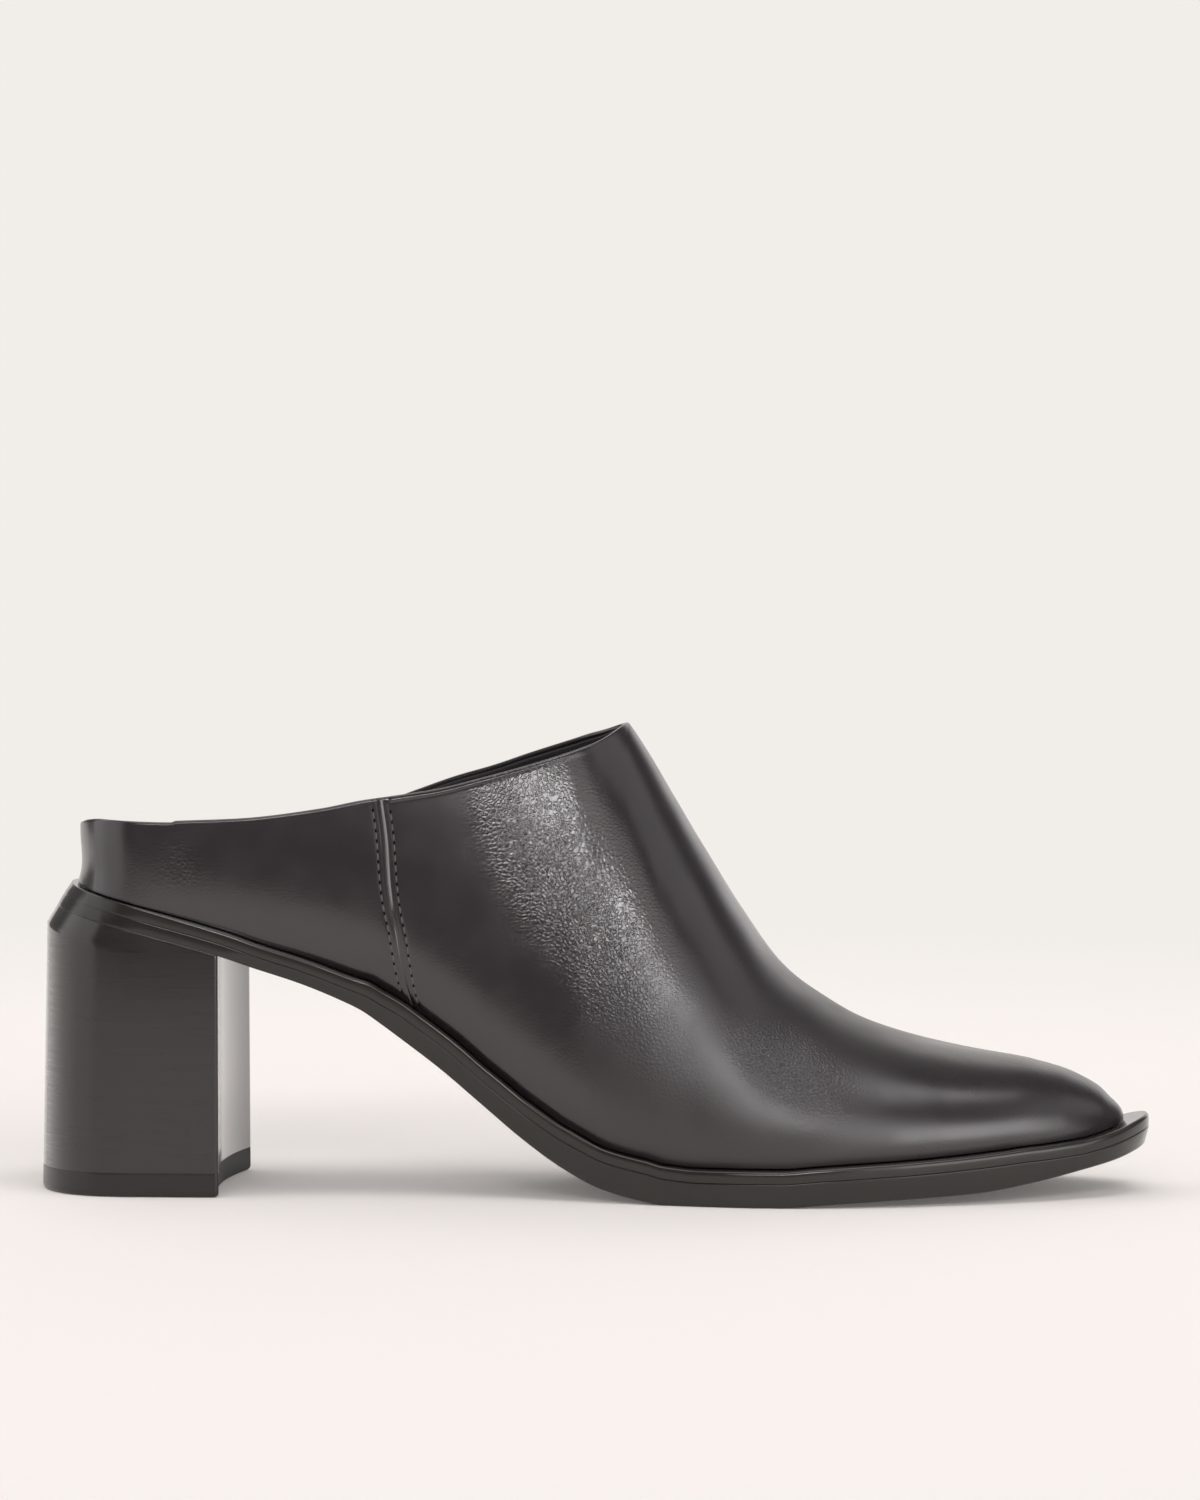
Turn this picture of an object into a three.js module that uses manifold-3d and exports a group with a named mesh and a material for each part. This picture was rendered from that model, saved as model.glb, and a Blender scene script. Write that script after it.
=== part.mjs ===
// A women's closed-toe mule on a stacked block heel, right shoe, standing on its sole.
// Millimetres, +Z up, +X toward the toe, +Y toward the inner side of the foot.
// The origin is on the floor, in the middle of the heel's rest face.

import * as THREE from 'three';
import { mergeVertices } from 'three/addons/utils/BufferGeometryUtils.js';
import Module from 'manifold-3d';

const wasm = await Module();
wasm.setup();

// Driving dimensions
const LENGTH = 254.6; // back of the heel to the tip of the sole
const HEEL_LENGTH = 43.6; // back of the heel to the corners of its breast
const HEEL_WIDTH = 57; // widest part of the heel seat
const BALL_WIDTH = 85; // widest part of the forefoot
const HEEL_RISE = 66.2; // floor to the outsole's underside, at the very back
const TOE_SPRING = 11; // floor to the outsole's underside, at the tip
const SOLE_THICKNESS = 8.2; // outsole and midsole together, across the layers, under the ball
const MIDSOLE_THICKNESS = 2.8; // the upper layer alone, whose edge stands out round the upper
const EDGE_BEVEL = 0.8; // how far the outsole's lower edge is pared in, from the arch forward
const TOP_PIECE_THICKNESS = 5.5; // wearing layer under the heel
const HEEL_FLARE = 0.8; // how far the heel stands out at the floor, all round
const BREAST_HOLLOW = 2.7; // depth of the breast's concave curve
const BREAST_OFFSET = 2.1; // the curve is centred this far to the outer side
const BACK_BEVEL = 5.45; // how far the slanted back of the seat is cut in at the top
const BACK_BEVEL_HEIGHT = 10.5; // height of that slanted cut, from the top of the midsole down
const BACK_BEVEL_REACH = 27; // how far forward along the sides the cut runs out
const BACK_LEAN = 0.5; // how far the heel's back leans in from the floor to the seat
const WELT_WIDTH = 3.4; // strip of the midsole that shows round the upper at the ball
const UPPER_WALL = 2.0; // leather and lining together
const THROAT_DEPTH = 95.3; // midsole to the peak of the vamp
const COLLAR_DEPTH = 13.7; // midsole to the collar at the very back
const TUCK_REACH = 6; // height within which the upper tucks in to its foot
const COUNTER_HOLLOW = 0.75; // shallow hollow in the back of the quarter
const HOLLOW_SKEW = 0.65; // below 1, the hollow is deepest under the middle of the quarter
const COUNTER_LEAN = 0.28; // how far the top of the quarter's back leans forward
const INSOLE_THICKNESS = 3.4;
const GAP = 0.3; // clearance between neighbouring pieces

// How finely the curved forms are divided
const SOLE_STATIONS = 72;
const FOOT_LINE_STATIONS = 4 * SOLE_STATIONS; // finer, since the foot line is looked up between them
const SIDE_COLUMNS = 20; // upper, heel to throat, on each side
const VAMP_COLUMNS = 27; // upper, throat to tip, on each side
const BACK_COLUMNS = 26; // upper, round the heel
const WALL_ROWS = 12;
const ARC_SEGMENTS = 18; // breast of the heel
const FOOT_CROWDING = 1.5; // above 1, the upper's rows stand closer together at its foot
const END_CROWDING = 1.6; // above 1, its columns stand closer together toward the throat and the tip
const SLOPE_STEP = LENGTH / 500;
const OUTLINE_STEP = LENGTH / 12000;
const WELD = 1e-4; // corners closer than this are one

const LATERAL = -1;
const MEDIAL = 1;
const BACK = -HEEL_LENGTH / 2;
const HEEL_BLANK_LENGTH = 1.2 * HEEL_LENGTH; // heel and top piece before the breast is cut
const BREAST_OVERRUN = 1.2; // the cutter's arc reaches past the sides by this much
const LAST_STATION_CLEAR = 1; // keeps the station before a straight end off that end

// Plan of the sole, back to tip: its curved centre line and its width.
const planRows = [
  { at: 0.0, centre: 0.0, width: 0.0 },
  { at: 0.008, centre: 0.0, width: 0.47 * HEEL_WIDTH },
  { at: 0.027, centre: 0.0, width: 0.775 * HEEL_WIDTH },
  { at: 0.043, centre: 0.0, width: 0.895 * HEEL_WIDTH },
  { at: 0.063, centre: 0.0, width: 0.97 * HEEL_WIDTH },
  { at: 0.09, centre: 0.0, width: 1.0 * HEEL_WIDTH },
  { at: 0.124, centre: 0.0, width: 1.0 * HEEL_WIDTH },
  { at: 0.182, centre: -0.003 * BALL_WIDTH, width: 0.985 * HEEL_WIDTH },
  { at: 0.261, centre: -0.011 * BALL_WIDTH, width: 0.61 * BALL_WIDTH },
  { at: 0.339, centre: -0.019 * BALL_WIDTH, width: 0.58 * BALL_WIDTH },
  { at: 0.418, centre: -0.029 * BALL_WIDTH, width: 0.612 * BALL_WIDTH },
  { at: 0.496, centre: -0.032 * BALL_WIDTH, width: 0.724 * BALL_WIDTH },
  { at: 0.575, centre: -0.022 * BALL_WIDTH, width: 0.88 * BALL_WIDTH },
  { at: 0.653, centre: -0.011 * BALL_WIDTH, width: 0.986 * BALL_WIDTH },
  { at: 0.692, centre: -0.006 * BALL_WIDTH, width: 1.0 * BALL_WIDTH },
  { at: 0.771, centre: 0.001 * BALL_WIDTH, width: 0.939 * BALL_WIDTH },
  { at: 0.83, centre: 0.008 * BALL_WIDTH, width: 0.835 * BALL_WIDTH },
  { at: 0.889, centre: 0.016 * BALL_WIDTH, width: 0.696 * BALL_WIDTH },
  { at: 0.936, centre: 0.021 * BALL_WIDTH, width: 0.546 * BALL_WIDTH },
  { at: 0.972, centre: 0.023 * BALL_WIDTH, width: 0.384 * BALL_WIDTH },
  { at: 0.99, centre: 0.023 * BALL_WIDTH, width: 0.234 * BALL_WIDTH },
  { at: 1.0, centre: 0.023 * BALL_WIDTH, width: 0.0 },
];

// Side view of the outsole's underside: seat, arch, flat tread and toe spring.
const undersideRows = [
  { at: 0.0, height: 1.0 * HEEL_RISE },
  { at: 0.053, height: 0.952 * HEEL_RISE },
  { at: 0.108, height: 0.898 * HEEL_RISE },
  { at: 0.171, height: 0.829 * HEEL_RISE },
  { at: 0.198, height: 0.792 * HEEL_RISE },
  { at: 0.243, height: 0.733 * HEEL_RISE },
  { at: 0.278, height: 0.677 * HEEL_RISE },
  { at: 0.296, height: 0.643 * HEEL_RISE },
  { at: 0.314, height: 0.595 * HEEL_RISE },
  { at: 0.332, height: 0.544 * HEEL_RISE },
  { at: 0.368, height: 0.44 * HEEL_RISE },
  { at: 0.404, height: 0.325 * HEEL_RISE },
  { at: 0.44, height: 0.211 * HEEL_RISE },
  { at: 0.476, height: 0.116 * HEEL_RISE },
  { at: 0.512, height: 0.047 * HEEL_RISE },
  { at: 0.548, height: 0.012 * HEEL_RISE },
  { at: 0.569, height: 0.0 },
  { at: 0.673, height: 0.0 },
  { at: 0.707, height: 0.055 * TOE_SPRING },
  { at: 0.777, height: 0.145 * TOE_SPRING },
  { at: 0.847, height: 0.232 * TOE_SPRING },
  { at: 0.9, height: 0.418 * TOE_SPRING },
  { at: 0.936, height: 0.591 * TOE_SPRING },
  { at: 0.972, height: 0.782 * TOE_SPRING },
  { at: 1.0, height: 1.0 * TOE_SPRING },
];

// Outsole and midsole together, across the layers.
const stackRows = [
  { at: 0.0, thickness: 0.683 * SOLE_THICKNESS },
  { at: 0.198, thickness: 0.683 * SOLE_THICKNESS },
  { at: 0.243, thickness: 0.695 * SOLE_THICKNESS },
  { at: 0.278, thickness: 0.72 * SOLE_THICKNESS },
  { at: 0.314, thickness: 0.8 * SOLE_THICKNESS },
  { at: 0.34, thickness: 0.88 * SOLE_THICKNESS },
  { at: 0.404, thickness: 0.87 * SOLE_THICKNESS },
  { at: 0.44, thickness: 0.93 * SOLE_THICKNESS },
  { at: 0.476, thickness: 1.02 * SOLE_THICKNESS },
  { at: 0.512, thickness: 1.1 * SOLE_THICKNESS },
  { at: 0.548, thickness: 1.14 * SOLE_THICKNESS },
  { at: 0.6, thickness: 1.02 * SOLE_THICKNESS },
  { at: 0.777, thickness: 1.02 * SOLE_THICKNESS },
  { at: 0.847, thickness: 1.05 * SOLE_THICKNESS },
  { at: 0.88, thickness: 1.0 * SOLE_THICKNESS },
  { at: 0.918, thickness: 0.87 * SOLE_THICKNESS },
  { at: 0.945, thickness: 0.79 * SOLE_THICKNESS },
  { at: 1.0, thickness: 0.8 * SOLE_THICKNESS },
];

// Strip of the midsole that shows round the upper, and the paring of the outsole's lower edge.
const edgeRows = [
  { at: 0.0, welt: 0.485 * WELT_WIDTH, paring: 0.0 },
  { at: 0.17, welt: 0.7 * WELT_WIDTH, paring: 0.0 },
  { at: 0.24, welt: 0.72 * WELT_WIDTH, paring: 1.0 * EDGE_BEVEL },
  { at: 0.42, welt: 0.75 * WELT_WIDTH, paring: 1.0 * EDGE_BEVEL },
  { at: 0.65, welt: 1.0 * WELT_WIDTH, paring: 1.0 * EDGE_BEVEL },
  { at: 0.88, welt: 1.3 * WELT_WIDTH, paring: 1.0 * EDGE_BEVEL },
  { at: 1.0, welt: 1.7 * WELT_WIDTH, paring: 1.0 * EDGE_BEVEL },
];

// The insole stays clear of the hollow at the back and of the wall that leans in over the toe.
const insoleRows = [
  { at: 0.0, clear: 1.2 * COUNTER_HOLLOW },
  { at: 0.1, clear: 0.05 * INSOLE_THICKNESS },
  { at: 0.8, clear: 0.15 * INSOLE_THICKNESS },
  { at: 0.93, clear: 0.5 * INSOLE_THICKNESS },
  { at: 1.0, clear: 1.1 * INSOLE_THICKNESS },
];

// The last above the midsole, along the upper from its back to its tip. The crown is the height of
// its ridge as a share of the throat's depth; behind the throat it is only what the sides aim at.
// The peak shifts the ridge to the inner side and the swell is how far the sides stand out over
// their foot, both as shares of the ball's width. The outer and inner powers fill the section on
// each side: 2 is an ellipse, more is squarer.
const lastRows = [
  { along: 0.0, crown: 1.07, peak: 0.0, swell: 0.0, outer: 2.0, inner: 2.0 },
  { along: 0.107, crown: 1.07, peak: 0.0, swell: 0.01, outer: 2.0, inner: 2.0 },
  { along: 0.223, crown: 1.11, peak: 0.005, swell: 0.028, outer: 1.98, inner: 2.0 },
  { along: 0.306, crown: 1.12, peak: 0.012, swell: 0.042, outer: 1.95, inner: 2.0 },
  { along: 0.389, crown: 1.15, peak: 0.024, swell: 0.04, outer: 1.9, inner: 2.0 },
  { along: 0.472, crown: 1.122, peak: 0.038, swell: 0.03, outer: 1.85, inner: 2.0 },
  { along: 0.528, crown: 1.0, peak: 0.046, swell: 0.025, outer: 1.85, inner: 2.02 },
  { along: 0.558, crown: 0.897, peak: 0.05, swell: 0.023, outer: 1.88, inner: 2.05 },
  { along: 0.596, crown: 0.745, peak: 0.053, swell: 0.021, outer: 1.93, inner: 2.1 },
  { along: 0.634, crown: 0.588, peak: 0.055, swell: 0.02, outer: 1.98, inner: 2.15 },
  { along: 0.672, crown: 0.453, peak: 0.055, swell: 0.019, outer: 2.04, inner: 2.2 },
  { along: 0.711, crown: 0.368, peak: 0.053, swell: 0.018, outer: 2.1, inner: 2.25 },
  { along: 0.749, crown: 0.307, peak: 0.05, swell: 0.017, outer: 2.14, inner: 2.28 },
  { along: 0.787, crown: 0.268, peak: 0.046, swell: 0.016, outer: 2.17, inner: 2.3 },
  { along: 0.825, crown: 0.238, peak: 0.041, swell: 0.015, outer: 2.2, inner: 2.3 },
  { along: 0.863, crown: 0.212, peak: 0.034, swell: 0.014, outer: 2.2, inner: 2.3 },
  { along: 0.901, crown: 0.187, peak: 0.026, swell: 0.012, outer: 2.2, inner: 2.3 },
  { along: 0.939, crown: 0.156, peak: 0.016, swell: 0.009, outer: 2.2, inner: 2.25 },
  { along: 0.958, crown: 0.132, peak: 0.011, swell: 0.007, outer: 2.15, inner: 2.2 },
  { along: 0.977, crown: 0.095, peak: 0.006, swell: 0.004, outer: 2.1, inner: 2.1 },
  { along: 0.987, crown: 0.064, peak: 0.003, swell: 0.002, outer: 2.05, inner: 2.05 },
  { along: 1.0, crown: 0.0, peak: 0.0, swell: 0.0, outer: 2.0, inner: 2.0 },
];

// The collar's climb from its back (0) to the throat (1), on the outer and the inner side.
const collarRows = [
  { along: 0.0, outer: 0.0, inner: 0.0 },
  { along: 0.016, outer: 0.06, inner: -0.035 },
  { along: 0.03, outer: 0.078, inner: -0.063 },
  { along: 0.06, outer: 0.07, inner: -0.08 },
  { along: 0.091, outer: 0.064, inner: -0.083 },
  { along: 0.13, outer: 0.075, inner: -0.075 },
  { along: 0.169, outer: 0.094, inner: -0.045 },
  { along: 0.244, outer: 0.194, inner: 0.061 },
  { along: 0.281, outer: 0.273, inner: 0.144 },
  { along: 0.318, outer: 0.33, inner: 0.285 },
  { along: 0.356, outer: 0.395, inner: 0.43 },
  { along: 0.393, outer: 0.495, inner: 0.546 },
  { along: 0.43, outer: 0.602, inner: 0.683 },
  { along: 0.47, outer: 0.732, inner: 0.822 },
  { along: 0.492, outer: 0.812, inner: 0.899 },
  { along: 0.512, outer: 0.894, inner: 0.951 },
  { along: 0.528, outer: 1.0, inner: 1.0 },
];
const THROAT_SHARE = 0.528;
const HEEL_CENTRE_SHARE = 0.107; // the columns round the heel turn about this place

// Smooth curve through one column of a table, which never overshoots its rows. Where the column
// holds shares, size is the named size that they follow.
function curve(rows, key, column, size = 1) {
  const x = rows.map((row) => row[key]);
  const y = rows.map((row) => row[column] * size);
  const last = x.length - 1;
  const secant = x.slice(1).map((value, i) => (y[i + 1] - y[i]) / (value - x[i]));
  const tangent = x.map((_, i) => {
    if (i === 0) return secant[0];
    if (i === last) return secant[last - 1];
    const before = secant[i - 1];
    const after = secant[i];
    if (before * after <= 0) return 0;
    const weight = (x[i + 1] - x[i] + (x[i + 1] - x[i - 1])) / (3 * (x[i + 1] - x[i - 1]));
    return (before * after) / (weight * after + (1 - weight) * before);
  });
  return (value) => {
    const place = THREE.MathUtils.clamp(value, x[0], x[last]);
    let i = 0;
    while (i < last - 1 && place > x[i + 1]) i += 1;
    const span = x[i + 1] - x[i];
    const t = (place - x[i]) / span;
    const rise = (3 - 2 * t) * t * t;
    const leave = t * (1 - t) * (1 - t) * span * tangent[i];
    const arrive = t * t * (1 - t) * span * tangent[i + 1];
    return y[i] + (y[i + 1] - y[i]) * rise + leave - arrive;
  };
}

// The same through the squares of a column, so that it closes round where it comes down to zero.
function roundCurve(rows, key, column, size = 1) {
  const squares = rows.map((row) => ({ [key]: row[key], square: (row[column] * size) ** 2 }));
  const square = curve(squares, key, 'square');
  return (value) => Math.sqrt(Math.max(0, square(value)));
}

function slopeOf(height, x) {
  return (height(x + SLOPE_STEP) - height(x - SLOPE_STEP)) / (2 * SLOPE_STEP);
}

// Sole: plan and side view as functions of X
const shareOfLength = (x) => (x - BACK) / LENGTH;
const centreCurve = curve(planRows, 'at', 'centre');
const widthCurve = roundCurve(planRows, 'at', 'width');
const undersideCurve = curve(undersideRows, 'at', 'height');
const stackCurve = curve(stackRows, 'at', 'thickness');
const weltCurve = curve(edgeRows, 'at', 'welt');
const paringCurve = curve(edgeRows, 'at', 'paring');
const insoleCurve = curve(insoleRows, 'at', 'clear');

const underside = (x) => undersideCurve(shareOfLength(x));
const upright = (thickness, x) => thickness * Math.hypot(1, slopeOf(underside, x));
const midsoleTop = (x) => underside(x) + upright(stackCurve(shareOfLength(x)), x);
const midsoleFoot = (x) => midsoleTop(x) - upright(MIDSOLE_THICKNESS, x);
const insoleTop = (x) => midsoleTop(x) + GAP + upright(INSOLE_THICKNESS, x);

// The back of the heel leans in a little and ends in a slanted cut; both run out along the sides.
function backBevel(x, z) {
  const runOut = 1 - THREE.MathUtils.smoothstep(x, BACK, BACK + BACK_BEVEL_REACH);
  const up = THREE.MathUtils.clamp(1 - (midsoleTop(x) - z) / BACK_BEVEL_HEIGHT, 0, 1);
  const lean = BACK_LEAN * THREE.MathUtils.clamp(z / HEEL_RISE, 0, 1);
  return runOut * (BACK_BEVEL * up + lean);
}
const bevelFoot = (x) => midsoleTop(x) - BACK_BEVEL_HEIGHT;

// Points of the sole's plan outline with their inward direction, denser toward both ends.
function outlinePoint(x, side) {
  const at = shareOfLength(x);
  const half = widthCurve(at) / 2;
  const squareHalf = (place) => (widthCurve(shareOfLength(place)) / 2) ** 2;
  const low = Math.max(BACK, x - OUTLINE_STEP);
  const high = Math.min(BACK + LENGTH, x + OUTLINE_STEP);
  const squareSlope = (squareHalf(high) - squareHalf(low)) / (high - low);
  const centreSlope = (centreCurve(shareOfLength(high)) - centreCurve(shareOfLength(low))) / (high - low);
  const tangent = new THREE.Vector2(2 * half, 2 * half * centreSlope + side * squareSlope).normalize();
  return {
    x,
    y: centreCurve(at) + side * half,
    inX: side * tangent.y,
    inY: -side * tangent.x,
  };
}

function soleStations(count, front = BACK + LENGTH) {
  const places = Array.from({ length: count + 1 }, (_, i) =>
    BACK + (LENGTH * (1 - Math.cos((Math.PI * i) / count))) / 2);
  if (front === BACK + LENGTH) return places;
  return [...places.filter((x) => x < front - LAST_STATION_CLEAR), front];
}

// Closed solid between plan outlines: each layer is the sole's outline moved inward by inset(x) and
// laid at height(x), and the layers are listed from the bottom up.
function plate(stations, layers) {
  const positions = [];
  const triangles = [];
  const sides = [LATERAL, MEDIAL];
  for (const x of stations) {
    for (const side of sides) {
      const point = outlinePoint(x, side);
      for (const layer of layers) {
        const shift = layer.inset(x);
        const shiftedX = point.x + point.inX * shift;
        positions.push(shiftedX, point.y + point.inY * shift, layer.height(shiftedX));
      }
    }
  }
  const top = layers.length - 1;
  const id = (i, side, layer) => (i * 2 + side) * layers.length + layer;
  const quad = (a, b, c, d) => triangles.push(a, b, c, a, c, d);
  for (let i = 0; i < stations.length - 1; i += 1) {
    for (let k = 0; k < top; k += 1) {
      quad(id(i, 0, k), id(i + 1, 0, k), id(i + 1, 0, k + 1), id(i, 0, k + 1));
      quad(id(i + 1, 1, k), id(i, 1, k), id(i, 1, k + 1), id(i + 1, 1, k + 1));
    }
    quad(id(i, 0, 0), id(i, 1, 0), id(i + 1, 1, 0), id(i + 1, 0, 0));
    quad(id(i, 0, top), id(i + 1, 0, top), id(i + 1, 1, top), id(i, 1, top));
  }
  const end = stations.length - 1;
  for (let k = 0; k < top; k += 1) {
    quad(id(0, 1, k), id(0, 0, k), id(0, 0, k + 1), id(0, 1, k + 1));
    quad(id(end, 0, k), id(end, 1, k), id(end, 1, k + 1), id(end, 0, k + 1));
  }
  return solidGeometry(positions, triangles);
}

// Geometry with equal corners merged and triangles that close to a line left out.
function solidGeometry(positions, triangles) {
  const loose = new THREE.BufferGeometry();
  loose.setAttribute('position', new THREE.Float32BufferAttribute(positions, 3));
  loose.setIndex(triangles);
  const merged = mergeVertices(loose, WELD);
  const index = Array.from(merged.index.array);
  const kept = [];
  for (let i = 0; i < index.length; i += 3) {
    const [a, b, c] = index.slice(i, i + 3);
    if (a !== b && b !== c && c !== a) kept.push(a, b, c);
  }
  merged.setIndex(kept);
  return merged;
}

function toManifold(geometry) {
  const bare = geometry.clone();
  bare.deleteAttribute('normal');
  bare.deleteAttribute('uv');
  const merged = mergeVertices(bare, WELD);
  return new wasm.Manifold(new wasm.Mesh({
    numProp: 3,
    vertProperties: new Float32Array(merged.attributes.position.array),
    triVerts: new Uint32Array(merged.index.array),
  }));
}

function fromManifold(solid) {
  const mesh = solid.getMesh();
  const geometry = new THREE.BufferGeometry();
  geometry.setAttribute('position', new THREE.BufferAttribute(mesh.vertProperties, 3));
  geometry.setIndex(Array.from(mesh.triVerts));
  return geometry;
}

// Sole layers
function outsoleGeometry() {
  const bottom = {
    inset: (x) => backBevel(x, underside(x)) + paringCurve(shareOfLength(x)),
    height: underside,
  };
  const top = {
    inset: (x) => backBevel(x, midsoleFoot(x) - GAP),
    height: (x) => midsoleFoot(x) - GAP,
  };
  return plate(soleStations(SOLE_STATIONS), [bottom, top]);
}

function midsoleGeometry() {
  const bottom = { inset: (x) => backBevel(x, midsoleFoot(x)), height: midsoleFoot };
  const top = { inset: (x) => backBevel(x, midsoleTop(x)), height: midsoleTop };
  return plate(soleStations(SOLE_STATIONS), [bottom, top]);
}

// Heel block and top piece share one flared outline and one hollow breast.
const flare = (z) => -HEEL_FLARE * (1 - z / HEEL_RISE);

function cutBreast(geometry) {
  const corner = BACK + HEEL_LENGTH;
  const half = HEEL_WIDTH / 2;
  const radius = (half ** 2 + BREAST_HOLLOW ** 2) / (2 * BREAST_HOLLOW);
  const reach = Math.asin((half * BREAST_OVERRUN) / radius);
  const shape = new THREE.Shape();
  const centreX = corner - BREAST_HOLLOW + radius;
  shape.absarc(centreX, -BREAST_OFFSET, radius, Math.PI - reach, Math.PI + reach, false);
  shape.lineTo(corner + HEEL_LENGTH, -HEEL_WIDTH);
  shape.lineTo(corner + HEEL_LENGTH, HEEL_WIDTH);
  const cutter = new THREE.ExtrudeGeometry(shape, {
    depth: 2 * HEEL_RISE, bevelEnabled: false, curveSegments: ARC_SEGMENTS,
  });
  cutter.translate(0, 0, -HEEL_RISE / 2);
  return fromManifold(toManifold(geometry).subtract(toManifold(cutter)));
}

function heelGeometry() {
  const foot = TOP_PIECE_THICKNESS + GAP;
  const seat = (x) => underside(x) - GAP;
  const bevelStart = (x) => Math.min(bevelFoot(x), seat(x) - GAP);
  const layers = [
    { inset: (x) => flare(foot) + backBevel(x, foot), height: () => foot },
    { inset: (x) => flare(bevelStart(x)) + backBevel(x, bevelStart(x)), height: bevelStart },
    { inset: (x) => backBevel(x, seat(x)), height: seat },
  ];
  return cutBreast(plate(soleStations(SOLE_STATIONS, BACK + HEEL_BLANK_LENGTH), layers));
}

function topPieceGeometry() {
  const top = TOP_PIECE_THICKNESS;
  const layers = [
    { inset: () => flare(0), height: () => 0 },
    { inset: (x) => flare(top) + backBevel(x, top), height: () => top },
  ];
  return cutBreast(plate(soleStations(SOLE_STATIONS, BACK + HEEL_BLANK_LENGTH), layers));
}

// Insole: the sole's outline moved in past the welt strip, the upper's wall and the clearance.
const footInset = (x) => backBevel(x, midsoleTop(x)) + weltCurve(shareOfLength(x));

function insoleGeometry() {
  const inset = (x) => footInset(x) + UPPER_WALL + GAP + insoleCurve(shareOfLength(x));
  const bottom = { inset, height: (x) => midsoleTop(x) + GAP };
  const top = { inset, height: insoleTop };
  return plate(soleStations(SOLE_STATIONS), [bottom, top]);
}

// The upper's foot: the sole's outline moved in by the welt strip, looked up by X or by direction.
function footLine(side) {
  const points = [];
  for (const x of soleStations(FOOT_LINE_STATIONS)) {
    const point = outlinePoint(x, side);
    const shift = footInset(x);
    const moved = { x: point.x + point.inX * shift, y: point.y + point.inY * shift };
    if (points.length === 0 || moved.x > points[points.length - 1].x) points.push(moved);
  }
  return points;
}
const footLines = { [LATERAL]: footLine(LATERAL), [MEDIAL]: footLine(MEDIAL) };
const footBack = footLines[MEDIAL][0].x;
const footTip = footLines[MEDIAL][footLines[MEDIAL].length - 1].x;

function footY(x, side) {
  const line = footLines[side];
  let i = 1;
  while (i < line.length - 1 && line[i].x < x) i += 1;
  const t = THREE.MathUtils.clamp((x - line[i - 1].x) / (line[i].x - line[i - 1].x), 0, 1);
  return THREE.MathUtils.lerp(line[i - 1].y, line[i].y, t);
}

// Distance from the heel's centre to the foot line, where a ray at this angle from straight back meets it.
function footReach(centreX, centreY, angle, side) {
  const line = footLines[side];
  const turn = (point) => Math.atan2(side * (point.y - centreY), centreX - point.x);
  let i = 1;
  while (i < line.length - 1 && turn(line[i]) < angle) i += 1;
  const t = (angle - turn(line[i - 1])) / (turn(line[i]) - turn(line[i - 1]));
  const x = THREE.MathUtils.lerp(line[i - 1].x, line[i].x, t);
  const y = THREE.MathUtils.lerp(line[i - 1].y, line[i].y, t);
  return Math.hypot(x - centreX, y - centreY);
}

// Upper: the last's surface, cut off at the collar
const crownCurve = roundCurve(lastRows, 'along', 'crown', THROAT_DEPTH);
const peakCurve = curve(lastRows, 'along', 'peak', BALL_WIDTH);
const swellCurve = curve(lastRows, 'along', 'swell', BALL_WIDTH);
const powerCurves = {
  [LATERAL]: curve(lastRows, 'along', 'outer'),
  [MEDIAL]: curve(lastRows, 'along', 'inner'),
};
const climbCurves = {
  [LATERAL]: curve(collarRows, 'along', 'outer'),
  [MEDIAL]: curve(collarRows, 'along', 'inner'),
};
const shareOfUpper = (x) => (x - footBack) / (footTip - footBack);
const placeOnUpper = (along) => footBack + along * (footTip - footBack);
const throatX = placeOnUpper(THROAT_SHARE);
const heelCentreX = placeOnUpper(HEEL_CENTRE_SHARE);
const footHeight = (x) => midsoleTop(x) + GAP;
const collarBack = footHeight(footBack) + COLLAR_DEPTH;
const throatTop = footHeight(throatX) + crownCurve(THROAT_SHARE);

function collarHeight(x, side) {
  return THREE.MathUtils.lerp(collarBack, throatTop, climbCurves[side](shareOfUpper(x)));
}

// Half width of the section at a share t of its height: an ellipse-like arch that tucks in at its foot.
function halfSection(reach, swell, power, height, t) {
  const arch = (1 - t ** power) ** (1 / power);
  const tuck = (1 - t) ** (1 + height / TUCK_REACH);
  return (reach + swell) * arch - swell * tuck;
}

// Shares of a section's height for the rows of one column, closer together at the foot.
function rowShares(cut, power) {
  const end = Math.asin(Math.min(1, cut) ** (power / 2));
  return Array.from({ length: WALL_ROWS + 1 }, (_, j) =>
    Math.sin(end * (j / WALL_ROWS) ** FOOT_CROWDING) ** (2 / power));
}

function sideColumn(x, side) {
  const along = shareOfUpper(x);
  const ridgeY = centreCurve(shareOfLength(x)) + peakCurve(along);
  const height = crownCurve(along);
  const power = powerCurves[side](along);
  const reach = Math.abs(footY(x, side) - ridgeY);
  const cut = along < THROAT_SHARE ? (collarHeight(x, side) - footHeight(x)) / height : 1;
  return rowShares(cut, power).map((t) => new THREE.Vector3(
    x,
    ridgeY + side * halfSection(reach, swellCurve(along), power, height, t),
    footHeight(x) + t * height,
  ));
}

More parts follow.
